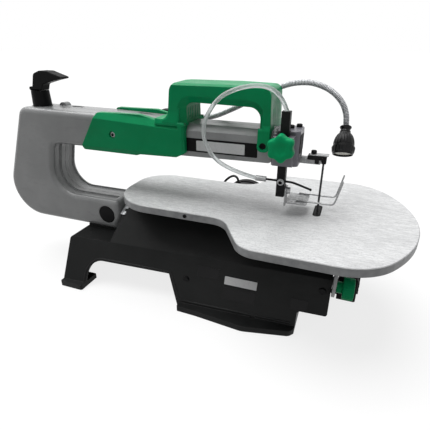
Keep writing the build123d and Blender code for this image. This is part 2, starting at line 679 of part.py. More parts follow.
# ---- lock bolt and its knob ----
lock_z = table_top_z - lock_drop
knob_x = sector_x + sector_thick + 1.0
lock_bolt = rod_along_x(base_front_x - wall, knob_x + 19.5, lock_y, lock_z, lock_bolt_r)
save(lock_bolt, "lock_bolt")
lock_knob = rod_along_x(knob_x, knob_x + 8, lock_y, lock_z, 9)
knurl = rod_along_x(knob_x + 8, knob_x + 21.5, lock_y, lock_z, lock_knob_r)
knurl = chamfer(knurl.edges().filter_by(GeomType.CIRCLE), 1.4)
for i in range(12):
    angle = radians(i * 30)
    knurl -= rod_along_x(knob_x + 7, knob_x + 23, lock_y + (lock_knob_r + 1.4) * cos(angle),
                         lock_z + (lock_knob_r + 1.4) * sin(angle), 2.6)
lock_knob += knurl
lock_knob -= rod_along_x(knob_x - 1, knob_x + 20.5, lock_y, lock_z, lock_bolt_r + running_gap)
save(lock_knob, "lock_knob")

# ---- controls ----
box_x = 240.0
box_front_x = 264.0
control_box = block(box_x, box_front_x, -21, 30, 25, 60)
control_box = fillet(control_box.edges().filter_by(Axis.X), 4)
control_box = fillet(control_box.faces().sort_by(Axis.X)[-1].edges(), 2)
control_box += block(base_front_x, box_x + 1, -10, 20, 26.5, 34.5)
dial_y = 14.0
switch_y = -8.0
control_z = 44.0
control_box -= rod_along_x(box_front_x - 8, box_front_x + 1, dial_y, control_z, 3.0)
control_box -= block(box_front_x - 7, box_front_x + 1, switch_y - 5.4, switch_y + 5.4, control_z - 9.4, control_z + 9.4)
save(control_box, "control_box")

dial = rod_along_x(box_front_x + seat_gap, box_front_x + 9, dial_y, control_z, dial_r)
dial = chamfer(dial.edges().filter_by(GeomType.CIRCLE).sort_by(Axis.X)[-1:], 1.2)
for i in range(16):
    angle = radians(i * 22.5)
    dial -= rod_along_x(box_front_x + 2, box_front_x + 10, dial_y + (dial_r + 0.5) * cos(angle),
                        control_z + (dial_r + 0.5) * sin(angle), 1.0)
dial += rod_along_x(box_front_x - 7.5, box_front_x + 1, dial_y, control_z, 3.0 - running_gap)
save(dial, "speed_dial")

rocker = block(box_front_x - 4, box_front_x + 2.2, switch_y - 5.2, switch_y + 5.2, control_z - 8.4, control_z + 8.4)
rocker += rod_along_y(switch_y - 5.2, switch_y + 5.2, box_front_x - 4, control_z, 1.8)
rocker -= block(box_front_x + 1.2, box_front_x + 3, switch_y - 6, switch_y + 6, control_z - 1.5, control_z + 1.5)
save(rocker, "power_switch")


# ---- arm covers, each with its half of the handle ----
cover_thick = 5.0            # how far a cover stands off the frame's side
cover_y = -frame_half - cover_thick
grip_y = cover_y + 2.0       # near face of the handle
grip_bevel = 8.0             # depth of the bevel round its window
cover_screw_x = -82.0
cover_screw_z = upper_pivot_z - 1.0
grip_screw_x = 130.0
grip_screw_z = upper_pivot_z + 2.0
up = upper_pivot_z
cover_profile = [
    (-106, up + 27.5, 5), (-136, up - 20, 4), (-134, up - 26, 3), (-46, up - 26.5), (-40, up - 24.5),
    (15, up - 23, 4), (27, up - 17, 3), (27, up + 21), (-14, up + 22.5, 10), (-40, up + 28),
]
grip_profile = [
    (-14, up + 18), (-14, up + 26), (4.5, up + 24, 12), (9.5, up + 72.4, 14), (136.5, up + 67.6, 10),
    (138.5, up - 5, 6), (123, up - 5, 6), (123.8, up + 44.6, 14), (27, up + 47, 9), (28, up + 18),
]
gable = [
    (cover_y - 1, up - 36), (cover_y - 1, up + 10), (cover_y, up + 20), (grip_y, up + 26), (grip_y, up + 67),
    (grip_y + 3.5, up + 69.5), (0, up + 71), (0, up - 36),
]


def make_cover(frame_side):
    cover = side_plate(cover_profile, cover_y, -20)
    # sloping band along the top edge, and the lower edge drawn in
    fall = degrees(atan2(5, 92))
    band = cross_plate([(cover_y - 1, -8), (cover_y, -8), (cover_y + 6, 1), (cover_y + 6, 4), (cover_y - 1, 4)], -60, 125)
    cover -= Pos(-106, 0, up + 27.8) * Rot(0, fall, 0) * band
    hem = cross_plate([(cover_y - 1, up - 36), (cover_y + 2.2, up - 36), (cover_y + 2.2, up - 27),
                       (cover_y, up - 20), (cover_y - 1, up - 20)], -140, 28)
    cover -= hem
    lip = [(24, cover_y), (23, cover_y - 1), (29, cover_y - 1), (29, cover_y + 3), (27, cover_y + 3)]
    cover -= plan_plate(lip, up - 30, up + 30)
    grip = side_plate(grip_profile, cover_y, 0) & cross_plate(gable, -20, 145)
    window = outline([(27.5, up + 12), (27, up + 47, 9), (123.8, up + 44.6, 14), (123.3, up + 12)])
    bevel = Pos(0, grip_y + grip_bevel, 0) * extrude(Plane.XZ * window, grip_bevel + 1, taper=-46)
    grip -= bevel & block(16, 128, cover_y - 1, 0, up + 19, up + 62)
    for y in (-5, -11, -17):
        grip -= block(26.3, 29, y - 0.9, y + 0.9, up + 23, up + 40)
        grip -= block(136.4, 141, y - 0.9, y + 0.9, up, up + 54)
    grip -= seam_cut(grip_profile)
    cover += grip
    cover -= frame_side
    # recessed screws
    cover -= rod_along_y(cover_y - 1, cover_y + 3, cover_screw_x, cover_screw_z, 5)
    cover -= rod_along_y(cover_y - 1, grip_y + 2.5, grip_screw_x, grip_screw_z, 4.2)
    return cover


cover_left = make_cover(frame_left_body)
save(cover_left, "cover_left")
save(other_side(cover_left), "cover_right")
cover_screw = rod_along_y(cover_y + 1.6, cover_y + 3, cover_screw_x, cover_screw_z, 4.4)
cover_screw -= Pos(cover_screw_x, cover_y + 3, cover_screw_z) * extrude(Plane.XZ * RegularPolygon(2, 6), 4)
grip_screw = rod_along_y(grip_y + 0.8, grip_y + 2.5, grip_screw_x, grip_screw_z, 3.8)
save(Compound(children=[cover_screw, other_side(cover_screw)]), "cover_screws")
save(Compound(children=[grip_screw, other_side(grip_screw)]), "grip_screws")

# ---- nose housing at the arm's end ----
nose_front_x = 172.0
nose_top_z = upper_pivot_z + 21.0
nose_low_z = upper_pivot_z - 21.0
nose = block(arm_end_x, nose_front_x, -26, 12, nose_low_z, nose_top_z)
nose = fillet(nose.edges().filter_by(Axis.Z).sort_by(Axis.X)[-2:], 6)
nose = fillet(nose.faces().sort_by(Axis.Z)[-1].edges(), 1.5)
guide = block(post_x - 12, post_x + 12, post_y - 8, post_y + 5, nose_low_z + 2, nose_top_z - 5)
guide = fillet(guide.faces().sort_by(Axis.Y)[0].edges(), 2)
nose += guide
nose -= block(arm_end_x - 1, nose_front_x + 1, -arm_slot_half, arm_slot_half, nose_low_z - 1, nose_top_z - 6)
post_gap = 0.08
nose -= block(post_x - post_side / 2 - post_gap, post_x + post_side / 2 + post_gap,
              post_y - post_side / 2 - post_gap, post_y + post_side / 2 + post_gap, nose_low_z - 5,
              nose_top_z + 3)
nose -= rod_along_y(post_y - 10, post_y, post_x, star_z, 3.0 + running_gap)
nose_screw_spots = ((158, -6), (166, 4))
for x, y in nose_screw_spots:
    nose -= rod_along_z(nose_top_z - 5, nose_top_z + 1, x, y, 2)
save(nose, "nose_housing")
nose_screws = []
for x, y in nose_screw_spots:
    head = rod_along_z(nose_top_z, nose_top_z + 3.5, x, y, 3.6) + rod_along_z(nose_top_z - 5, nose_top_z, x, y, 2)
    head -= Pos(x, y, nose_top_z + 2) * extrude(RegularPolygon(1.8, 6), 3)
    nose_screws.append(head)
save(Compound(children=nose_screws), "nose_screws")

# ---- star knob that locks the post ----
star_y = post_y - post_side / 2 - 8
star = rod_along_y(star_y - star_thick, star_y, post_x, star_z, star_r - 3.6)
star = chamfer(star.faces().sort_by(Axis.Y)[0].edges(), 1)
lobe_r = 4.4
for i in range(6):
    angle = radians(83 + i * 60)
    lobe = rod_along_y(star_y - star_thick, star_y, post_x + (star_r - lobe_r) * cos(angle),
                       star_z + (star_r - lobe_r) * sin(angle), lobe_r)
    star += chamfer(lobe.faces().sort_by(Axis.Y)[0].edges(), 1)
star += rod_along_y(star_y - 1, post_y - post_side / 2 - 0.3, post_x, star_z, 3.0)
save(star, "star_knob")

# ---- post with foot, blower pipe and air tube ----
post = block(post_x - post_side / 2, post_x + post_side / 2, post_y - post_side / 2, post_y + post_side / 2,
             post_low_z, post_high_z)
post += block(post_x - post_side / 2, post_x + post_side / 2, post_y - post_side / 2, -19, post_low_z - 3, post_low_z + 9)
post -= rod_along_x(post_x - 6, post_x + 6, post_y, nozzle_z, nozzle_r)
post -= rod_along_x(post_x - 4, post_x + 6, -24, foot_pivot_z, 2.0)
foot_low_z = foot_wire_z - 0.4 - foot_sheet / 2
wire_z = foot_low_z + foot_sheet + foot_wire_r
plate_rear_x = post_x + post_side / 2 + seat_gap
foot_plate = block(plate_rear_x, 187, -22, 14, foot_low_z, foot_low_z + foot_sheet)
foot_plate = fillet(foot_plate.edges().filter_by(Axis.Z).sort_by(Axis.X)[-2:], 4)
tab = cross_plate([(-31, foot_low_z, 1), (-31, 180, 5), (-17, 180, 5), (-17, foot_low_z, 1)],
                  plate_rear_x, plate_rear_x + foot_sheet)
foot_plate += tab
foot_plate -= rod_along_x(plate_rear_x - 1, plate_rear_x + 3, -24, foot_pivot_z, 2.0 + running_gap)
save(foot_plate, "foot_plate")

wire_front_x = 216.0
wires = []
for y in (-foot_wire_y, foot_wire_y):
    path = FilletPolyline((172, y, wire_z), (wire_front_x, y, wire_z), (226, y, 190), radius=6)
    wires.append(sweep(Plane(origin=path @ 0, z_dir=path % 0) * Circle(foot_wire_r), path=path))
save(Compound(children=wires), "foot_wires")

foot_bolt = rod_along_x(post_x - 4, plate_rear_x + foot_sheet + 0.2, -24, foot_pivot_z, 2.0)
foot_bolt += rod_along_x(plate_rear_x + foot_sheet + 0.2, plate_rear_x + foot_sheet + 4, -24, foot_pivot_z, 4.2)
save(foot_bolt, "foot_bolt")

pipe_route = [(136, post_y, nozzle_z), (168, post_y, nozzle_z), (189, -10, 173)]
pipe_path = FilletPolyline(*pipe_route, radius=8)
pipe = sweep(Plane(origin=pipe_path @ 0, z_dir=pipe_path % 0) * Circle(nozzle_r), path=pipe_path)
save(pipe, "blower_pipe")
clamp_bolt = Pos(post_x, post_y - post_side / 2, nozzle_z) * extrude(Plane.XZ * RegularPolygon(4, 6), 3.5)
save(clamp_bolt, "pipe_clamp_bolt")

tube_route = [
    (155, -29, 270), (149, -32, 287), (128, -40, 299), (96, -45, 293), (74, -47, 279), (57, -47, 246),
    (68, -45, 214), (96, -40, 196), (123, -29, 187),
]
tube = along(tube_route, tube_r)
save(tube, "air_tube")
save(post - tube, "post")
save(rod_along_x(123, 136, post_y, nozzle_z, 3.4) - tube, "pipe_ferrule")

# ---- lamp ----
lamp_y = 40.0
lamp_mount = block(-40, -16, -cover_y, 48, 232, 252)
lamp_mount = fillet(lamp_mount.edges().filter_by(Axis.Z).sort_by(Axis.Y)[-2:], 5)
lamp_mount = fillet(lamp_mount.faces().sort_by(Axis.Z)[-1].edges(), 1.5)
lamp_mount += rod_along_x(-17, -12, lamp_y, 243, 6)
neck_r = 4.0
neck_route = [
    (-12, lamp_y, 243), (46, lamp_y, 244.5), (147, lamp_y, 293.8), (186, lamp_y, 293.3), (211, lamp_y, 271.5),
    (218.4, lamp_y, 244.7),
]
neck_bends = [110, 78, 48, 46]
neck_path = FilletPolyline(*neck_route, radius=neck_bends)
neck = sweep(Plane(origin=neck_path @ 0, z_dir=neck_path % 0) * Circle(neck_r), path=neck_path)
save(neck, "lamp_neck")
save(lamp_mount - neck, "lamp_mount")
head_top = Vector(218.4, lamp_y + 0.3, 244.5)
head_mouth = Vector(219.8, 23, 212.5)
head_axis = (head_mouth - head_top).normalized()
head_long = (head_mouth - head_top).length
head_r = 13.0
head_wall = 1.8
head_plane = Plane(origin=head_top, x_dir=(1, 0, 0), z_dir=head_axis)
shade_section = make_face(Polyline(
    (0, 0.3), (6.2, 0.3), (6.2, 4.5), (5.4, 6), (6.6, 10), (head_r - 1.5, 19), (head_r, 25), (head_r, head_long),
    (head_r - head_wall, head_long), (head_r - head_wall, 26), (head_r - 3.3, 20), (4.5, 10), (0, 10), (0, 0.3)))
lamp_head = head_plane * revolve(Plane.XZ * shade_section, Axis.Z)
save(lamp_head - neck, "lamp_head")
lamp_band = head_plane * Pos(0, 0, head_long - 6) * (Cylinder(head_r + 1, 8) - Cylinder(head_r, 9))
save(lamp_band, "lamp_band")
lamp_lens = head_plane * Pos(0, 0, head_long - 2.5) * Cylinder(head_r - head_wall, 2)
save(lamp_lens, "lamp_lens")

# ---- steel clip on the post guide ----
save(block(post_x - 12, post_x - 9, post_y - 3, post_y + 3, nose_top_z - 5, nose_top_z + 5), "arm_clip")
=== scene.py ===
import json
import math

import bmesh
import bpy
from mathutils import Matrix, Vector
from mathutils.bvhtree import BVHTree


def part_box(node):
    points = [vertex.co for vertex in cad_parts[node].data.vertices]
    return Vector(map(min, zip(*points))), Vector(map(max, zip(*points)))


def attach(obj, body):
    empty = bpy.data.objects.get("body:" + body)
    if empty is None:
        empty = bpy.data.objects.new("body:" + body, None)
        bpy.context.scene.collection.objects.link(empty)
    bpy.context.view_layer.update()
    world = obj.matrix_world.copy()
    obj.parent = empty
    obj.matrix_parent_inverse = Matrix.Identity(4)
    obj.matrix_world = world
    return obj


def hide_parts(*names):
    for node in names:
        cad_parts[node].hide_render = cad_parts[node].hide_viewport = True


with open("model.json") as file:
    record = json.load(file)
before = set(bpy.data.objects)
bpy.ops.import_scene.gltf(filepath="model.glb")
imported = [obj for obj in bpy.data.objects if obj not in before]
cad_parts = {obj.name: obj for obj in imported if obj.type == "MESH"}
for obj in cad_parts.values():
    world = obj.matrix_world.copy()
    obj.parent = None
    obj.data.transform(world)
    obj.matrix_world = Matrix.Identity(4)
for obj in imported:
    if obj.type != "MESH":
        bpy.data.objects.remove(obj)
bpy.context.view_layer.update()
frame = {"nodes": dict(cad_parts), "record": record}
nodes = frame["nodes"]
scene = bpy.context.scene

viewSetup = {
    "cameraPlace": (0.22785, -0.44901, 0.33692),
    "cameraYaw": 20.786,        # turned to the left of +Y
    "cameraPitch": 25.084,      # looking down
    "lens": 30.358,
    "sensor": 36.0,
    "nearest": 0.01,
}


def addCamera():
    data = bpy.data.cameras.new("mainCamera")
    data.lens = viewSetup["lens"]
    data.sensor_width = viewSetup["sensor"]
    data.clip_start = viewSetup["nearest"]
    camera = bpy.data.objects.new("mainCamera", data)
    camera.location = viewSetup["cameraPlace"]
    camera.rotation_euler = (math.radians(90 - viewSetup["cameraPitch"]), 0, math.radians(viewSetup["cameraYaw"]))
    scene.collection.objects.link(camera)
    scene.camera = camera


lightSetup = {
    "topStrength": 3.3,         # soft light from above, a little from the rear left
    "topAim": (0.34, -0.10, -1.0),
    "topSoftness": 55.0,
    "fillStrength": 0.22,       # weak light from the front
    "fillAim": (-0.25, 1.0, -0.45),
    "fillSoftness": 80.0,
    "worldStrength": 0.15,
    "floorColor": (0.22, 0.22, 0.22),
    "floorGlow": 0.80,          # added only where the floor is seen, so that it reads as white
    "floorRoughness": 0.95,
    "floorHalf": 20,            # metres
    "floorDrop": 0.0002,
}


def addSun(name, aim, strength, softness):
    data = bpy.data.lights.new(name, "SUN")
    data.energy = strength
    data.angle = math.radians(softness)
    light = bpy.data.objects.new(name, data)
    light.rotation_euler = Vector(aim).to_track_quat("-Z", "Y").to_euler()
    scene.collection.objects.link(light)


# fills a node's inputs, each with a socket or a constant
def feed(tree, node, inputs):
    for name, value in inputs.items():
        if isinstance(value, bpy.types.NodeSocket):
            tree.links.new(value, node.inputs[name])
        else:
            node.inputs[name].default_value = value


def addNode(tree, kind, inputs=None, **settings):
    node = tree.nodes.new(kind)
    for name, value in settings.items():
        setattr(node, name, value)
    feed(tree, node, inputs or {})
    return node


# a sum, product or larger one of two sockets, or of a socket and a number
def combined(tree, operation, first, second):
    return addNode(tree, "ShaderNodeMath", {0: first, 1: second}, operation=operation).outputs[0]


# 1 for the camera and for what mirrors and glass show, 0 for the light that falls on things
def seenDirectly(tree):
    path = addNode(tree, "ShaderNodeLightPath")
    first = combined(tree, "MAXIMUM", path.outputs["Is Camera Ray"], path.outputs["Is Glossy Ray"])
    return combined(tree, "MAXIMUM", first, path.outputs["Is Transmission Ray"])


def addWorld():
    world = bpy.data.worlds.new("whiteStudio")
    scene.world = world
    world.use_nodes = True
    tree = world.node_tree
    dim = tree.nodes["Background"]
    feed(tree, dim, {"Color": (1, 1, 1, 1), "Strength": lightSetup["worldStrength"]})
    white = addNode(tree, "ShaderNodeBackground", {"Color": (1, 1, 1, 1), "Strength": 1.0})
    mix = addNode(tree, "ShaderNodeMixShader", {0: seenDirectly(tree), 1: dim.outputs[0], 2: white.outputs[0]})
    feed(tree, tree.nodes["World Output"], {"Surface": mix.outputs[0]})


def floorFinish():
    finish, tree, shader = startFinish("paleFloor")
    feed(tree, shader, {"Base Color": (*lightSetup["floorColor"], 1), "Roughness": lightSetup["floorRoughness"],
                        "Specular IOR Level": 0.0})
    glow = addNode(tree, "ShaderNodeEmission",
                   {"Strength": combined(tree, "MULTIPLY", seenDirectly(tree), lightSetup["floorGlow"])})
    both = addNode(tree, "ShaderNodeAddShader", {0: shader.outputs[0], 1: glow.outputs[0]})
    feed(tree, tree.nodes["Material Output"], {"Surface": both.outputs[0]})
    return finish


def addFloor():
    mesh = bpy.data.meshes.new("floor")
    work = bmesh.new()
    bmesh.ops.create_grid(work, x_segments=2, y_segments=2, size=lightSetup["floorHalf"])
    work.to_mesh(mesh)
    work.free()
    floor = bpy.data.objects.new("floor", mesh)
    floor.location = (0, 0, -lightSetup["floorDrop"])
    scene.collection.objects.link(floor)
    floor.data.materials.append(floorFinish())


# small helpers for the materials
def startFinish(name):
    finish = bpy.data.materials.new(name)
    finish.use_nodes = True
    tree = finish.node_tree
    shader = tree.nodes["Principled BSDF"]
    return finish, tree, shader


def objectSpace(tree, stretch=(1, 1, 1), turn=0.0, shift=(0, 0, 0)):
    place = addNode(tree, "ShaderNodeTexCoord").outputs["Object"]
    return addNode(tree, "ShaderNodeMapping", {"Vector": place, "Scale": stretch, "Location": shift,
                                               "Rotation": (0, 0, math.radians(turn))}).outputs["Vector"]


def noise(tree, vector, scale, detail, roughness=0.55):
    return addNode(tree, "ShaderNodeTexNoise", {"Vector": vector, "Scale": scale, "Detail": detail,
                                                "Roughness": roughness}).outputs["Fac"]


def colorBetween(tree, factor, low, high, start=0.3, end=0.7):
    ramp = addNode(tree, "ShaderNodeValToRGB", {"Fac": factor})
    for stop, place, color in zip(ramp.color_ramp.elements, (start, end), (low, high)):
        stop.position = place
        stop.color = (*color, 1)
    return ramp.outputs["Color"]


def valueBetween(tree, factor, low, high, start=0.3, end=0.7):
    return addNode(tree, "ShaderNodeMapRange", {"Value": factor, "From Min": start, "From Max": end,
                                                "To Min": low, "To Max": high}).outputs["Result"]


def softEdge(tree, radius):
    return addNode(tree, "ShaderNodeBevel", {"Radius": radius}, samples=6).outputs["Normal"]


# 1 on edges, where the paler edge colour of wear and painted highlight goes, broken up by a patchy noise
edgeLook = {
    "bend": (0.72, 0.97),
    "patchSpan": (0.35, 0.65),
    "leastPatch": 0.1,
}


def edgeMask(tree, radius, patchScale=160):
    straight = addNode(tree, "ShaderNodeNewGeometry").outputs["Normal"]
    dot = addNode(tree, "ShaderNodeVectorMath", {0: softEdge(tree, radius), 1: straight}, operation="DOT_PRODUCT")
    edge = valueBetween(tree, dot.outputs["Value"], 1.0, 0.0, *edgeLook["bend"])
    patch = noise(tree, objectSpace(tree), patchScale, 4)
    return combined(tree, "MULTIPLY", edge,
                    valueBetween(tree, patch, edgeLook["leastPatch"], 1.0, *edgeLook["patchSpan"]))


def upMask(tree, start, end):
    # 1 where the piece's own surface looks up
    outward = addNode(tree, "ShaderNodeTexCoord").outputs["Normal"]
    split = addNode(tree, "ShaderNodeSeparateXYZ", {0: outward})
    return valueBetween(tree, split.outputs["Z"], 0.0, 1.0, start, end)


def mixColors(tree, factor, first, second):
    first, second = ((*color, 1) if isinstance(color, tuple) else color for color in (first, second))
    return addNode(tree, "ShaderNodeMix", {"Factor": factor, 6: first, 7: second}, data_type="RGBA").outputs[2]


def scaled(tree, factor, amount):
    return combined(tree, "MULTIPLY", factor, amount)


def bumpOn(tree, shader, height, strength, distance, edge=None):
    bump = addNode(tree, "ShaderNodeBump", {"Strength": strength, "Distance": distance, "Height": height})
    if edge is not None:
        feed(tree, bump, {"Normal": softEdge(tree, edge)})
    feed(tree, shader, {"Normal": bump.outputs["Normal"]})


# painted and moulded surfaces: a cloudy tone, fine grain, paler edges that are partly rubbed wear and partly painted
# highlight
paintLook = {
    "cloudScale": 18,
    "smearScale": 30,
    "smearStretch": (1, 1, 3),
    "roughSpread": 0.07,
    "grainRough": (-0.03, 0.05),
    "speckShade": 0.82,
    "speckShare": 0.5,
    "speckSpan": (0.55, 0.75),
    "toneSpan": (0.35, 0.65),
    "coatRoughness": 0.2,
    "bumpDepth": 0.0003,
}


def paintFinish(name, low, high, rubAndSheenTone, rough=0.4, grain=700, bump=0.3, metallic=0.0, specular=0.3, edge=0.0008,
                coat=0.0, rubAndSheenShare=0.6):
    finish, tree, shader = startFinish(name)
    space = objectSpace(tree)
    tone = colorBetween(tree, noise(tree, space, paintLook["cloudScale"], 5), low, high, *paintLook["toneSpan"])
    fine = noise(tree, space, grain, 4)
    speck = tuple(paintLook["speckShade"] * v for v in low)
    share = valueBetween(tree, fine, 0.0, paintLook["speckShare"], *paintLook["speckSpan"])
    tone = mixColors(tree, share, tone, speck)
    # paler edges: partly rubbed wear, partly a painted highlight where light from above catches them
    tone = mixColors(tree, scaled(tree, edgeMask(tree, edge), rubAndSheenShare), tone, rubAndSheenTone)
    smear = noise(tree, objectSpace(tree, paintLook["smearStretch"]), paintLook["smearScale"], 5)
    spread = paintLook["roughSpread"]
    rougher = combined(tree, "ADD", valueBetween(tree, smear, rough - spread, rough + spread),
                       valueBetween(tree, fine, *paintLook["grainRough"]))
    feed(tree, shader, {"Base Color": tone, "Roughness": rougher, "Metallic": metallic,
                        "Specular IOR Level": specular, "Coat Weight": coat,
                        "Coat Roughness": paintLook["coatRoughness"]})
    bumpOn(tree, shader, fine, bump, paintLook["bumpDepth"], edge)
    return finish


# bare metal: drawn or turned lines, a faint cloud of oil and handling
metalLook = {
    "cloudScale": 55,
    "stainShade": 0.75,
    "stainShare": 0.6,
    "stainSpan": (0.5, 0.75),
    "toneSpan": (0.35, 0.65),
    "roughSpread": (-0.06, 0.14),
    "bumpDepth": 0.0002,
    "edge": 0.0003,
}


def metalFinish(name, low, high, rough, bump, metallic, stretch=(1, 1, 8), grain=260, specular=0.5):
    finish, tree, shader = startFinish(name)
    lines = noise(tree, objectSpace(tree, stretch), grain, 5)
    cloud = noise(tree, objectSpace(tree), metalLook["cloudScale"], 5)
    tone = colorBetween(tree, lines, low, high, *metalLook["toneSpan"])
    stain = tuple(metalLook["stainShade"] * v for v in low)
    share = valueBetween(tree, cloud, 0.0, metalLook["stainShare"], *metalLook["stainSpan"])
    tone = mixColors(tree, share, tone, stain)
    smoother, rougher = metalLook["roughSpread"]
    feed(tree, shader, {"Base Color": tone, "Metallic": metallic, "Specular IOR Level": specular,
                        "Roughness": valueBetween(tree, cloud, rough + smoother, rough + rougher)})
    bumpOn(tree, shader, lines, bump, metalLook["bumpDepth"], metalLook["edge"])
    return finish


# the ground table: crossing brush lines and arcs, cloudy handling, a painted highlight round one place, a darker cast
# side and a bright rim that is partly rubbed wear and partly painted highlight
tableLook = {
    "topLow": (0.50, 0.505, 0.51),
    "topHigh": (0.84, 0.845, 0.85),
    "topSpan": (0.30, 0.58),                  # spans: where a noise begins and ends to count
    "speck": (0.30, 0.30, 0.305),
    "speckScale": 620,
    "speckShare": 0.35,
    "speckSpan": (0.5, 0.68),
    "sideLow": (0.24, 0.245, 0.25),
    "sideHigh": (0.36, 0.365, 0.37),
    "sideScale": 90,
    "upSpan": (0.6, 0.85),
    # the rim is paler: partly rubbed wear, partly a painted highlight on the edge
    "rim": (0.86, 0.87, 0.88),
    "rimWidth": 0.0007,
    "rimPatches": 300,
    "rimShare": 0.75,
    "arcMiddle": (-0.16, 0.62, 0.0),          # the grinding arcs run round this place
    "arcScale": 210.0,
    "arcShare": 0.16,
    "arcBend": (2.0, 3.0, 2.5),               # distortion, detail and its scale
    "lineScale": 90,
    "lineStretch": (1, 9, 1),
    "cloudScale": 11,
    "cloudStretch": (1, 2.2, 1),
    "cloudShare": 0.55,
    "cloudSpan": (0.48, 0.66),
    "turn": 24,                               # degrees that the lines lie askew
    "paintedHighlightPlace": (0.16, -0.075, 0.1406),    # painted highlight: the top is brightest round this place and darker away from it
    "paintedHighlightReach": (0.05, 0.17),
    "dull": 0.90,
    "awayFromHighlightShare": 0.85,
    "awayFromHighlightLeast": 0.25,
    "dullSpan": (0.35, 0.6),
    "roughness": (0.30, 0.52),
    "metallic": 0.06,
    "specular": 0.35,
    "bump": 0.22,
    "bumpDepth": 0.00015,
    "edge": 0.0006,
}


def tableFinish():
    look = tableLook
    finish, tree, shader = startFinish("groundAluminium")
    space = objectSpace(tree)
    bend, detail, detailScale = look["arcBend"]
    arcs = addNode(tree, "ShaderNodeTexWave", {
        "Vector": objectSpace(tree, shift=tuple(-v for v in look["arcMiddle"])), "Scale": look["arcScale"],
        "Distortion": bend, "Detail": detail, "Detail Scale": detailScale,
    }, wave_type="RINGS", rings_direction="Z")
    lines = noise(tree, objectSpace(tree, look["lineStretch"], look["turn"]), look["lineScale"], 7, 0.7)
    cloud = noise(tree, objectSpace(tree, look["cloudStretch"], look["turn"]), look["cloudScale"], 7, 0.7)
    fine = noise(tree, space, look["speckScale"], 4)
    mark = combined(tree, "ADD", scaled(tree, arcs.outputs["Fac"], look["arcShare"]),
                    scaled(tree, lines, 1 - look["arcShare"]))
    top = colorBetween(tree, mark, look["topLow"], look["topHigh"], *look["topSpan"])
    top = mixColors(tree, valueBetween(tree, cloud, 0.0, look["cloudShare"], *look["cloudSpan"]), top, look["topLow"])
    top = mixColors(tree, valueBetween(tree, fine, 0.0, look["speckShare"], *look["speckSpan"]), top, look["speck"])
    # painted highlight: the top is darkened away from one bright place, standing in for a reflection of the lamps
    reach = addNode(tree, "ShaderNodeVectorMath",
                    {0: objectSpace(tree, shift=tuple(-v for v in look["paintedHighlightPlace"]))}, operation="LENGTH")
    away = valueBetween(tree, reach.outputs["Value"], 0.0, look["awayFromHighlightShare"], *look["paintedHighlightReach"])
    dull = tuple(look["dull"] * v for v in look["topLow"])
    streak = valueBetween(tree, lines, look["awayFromHighlightLeast"], 1.0, *look["dullSpan"])
    top = mixColors(tree, away, top, mixColors(tree, streak, dull, top))
    side = colorBetween(tree, noise(tree, space, look["sideScale"], 5), look["sideLow"], look["sideHigh"])
    tone = mixColors(tree, upMask(tree, *look["upSpan"]), side, top)
    # paler rim: partly rubbed wear, partly painted highlight
    rubAndSheenShare = scaled(tree, edgeMask(tree, look["rimWidth"], look["rimPatches"]), look["rimShare"])
    feed(tree, shader, {"Base Color": mixColors(tree, rubAndSheenShare, tone, look["rim"]), "Metallic": look["metallic"],
                        "Roughness": valueBetween(tree, mark, *look["roughness"]),
                        "Specular IOR Level": look["specular"]})
    bumpOn(tree, shader, mark, look["bump"], look["bumpDepth"], look["edge"])
    return finish


# plated tube: painted light and shade, bright above and darker below, a painted reflection of the bench
platedLook = {
    "cloudScale": 240,
    "below": ((0.13, 0.135, 0.15), (0.20, 0.205, 0.22)),
    "above": ((0.80, 0.81, 0.84), (0.92, 0.93, 0.95)),
    "turnover": (-0.75, 0.15),
    "roughness": (0.18, 0.32),
    "metallic": 0.15,
    "bump": 0.06,
}


def platedFinish():
    look = platedLook
    finish, tree, shader = startFinish("platedNeck")
    cloud = noise(tree, objectSpace(tree), look["cloudScale"], 4)
    below = colorBetween(tree, cloud, *look["below"])
    above = colorBetween(tree, cloud, *look["above"])
    # painted light and shade: upward faces take the lit tone, downward faces the shaded one
    feed(tree, shader, {"Base Color": mixColors(tree, upMask(tree, *look["turnover"]), below, above),
                        "Roughness": valueBetween(tree, cloud, *look["roughness"]), "Metallic": look["metallic"]})
    bumpOn(tree, shader, cloud, look["bump"], metalLook["bumpDepth"], metalLook["edge"])
    return finish


# clear and milky plastic with a faint haze
hazeLook = {
    "scale": 220,
    "shade": 0.9,
    "roughSpread": 0.08,
    "bump": 0.08,
    "bumpDepth": 0.0002,
}


def clearFinish(name, color, rough, weight, index=1.42):
    finish, tree, shader = startFinish(name)
    haze = noise(tree, objectSpace(tree), hazeLook["scale"], 3)
    tone = colorBetween(tree, haze, tuple(hazeLook["shade"] * v for v in color), color)
    feed(tree, shader, {"Base Color": tone, "Transmission Weight": weight, "IOR": index,
                        "Roughness": valueBetween(tree, haze, rough, rough + hazeLook["roughSpread"])})
    bumpOn(tree, shader, haze, hazeLook["bump"], hazeLook["bumpDepth"])
    return finish


def grey(level):
    return (level, level, level)


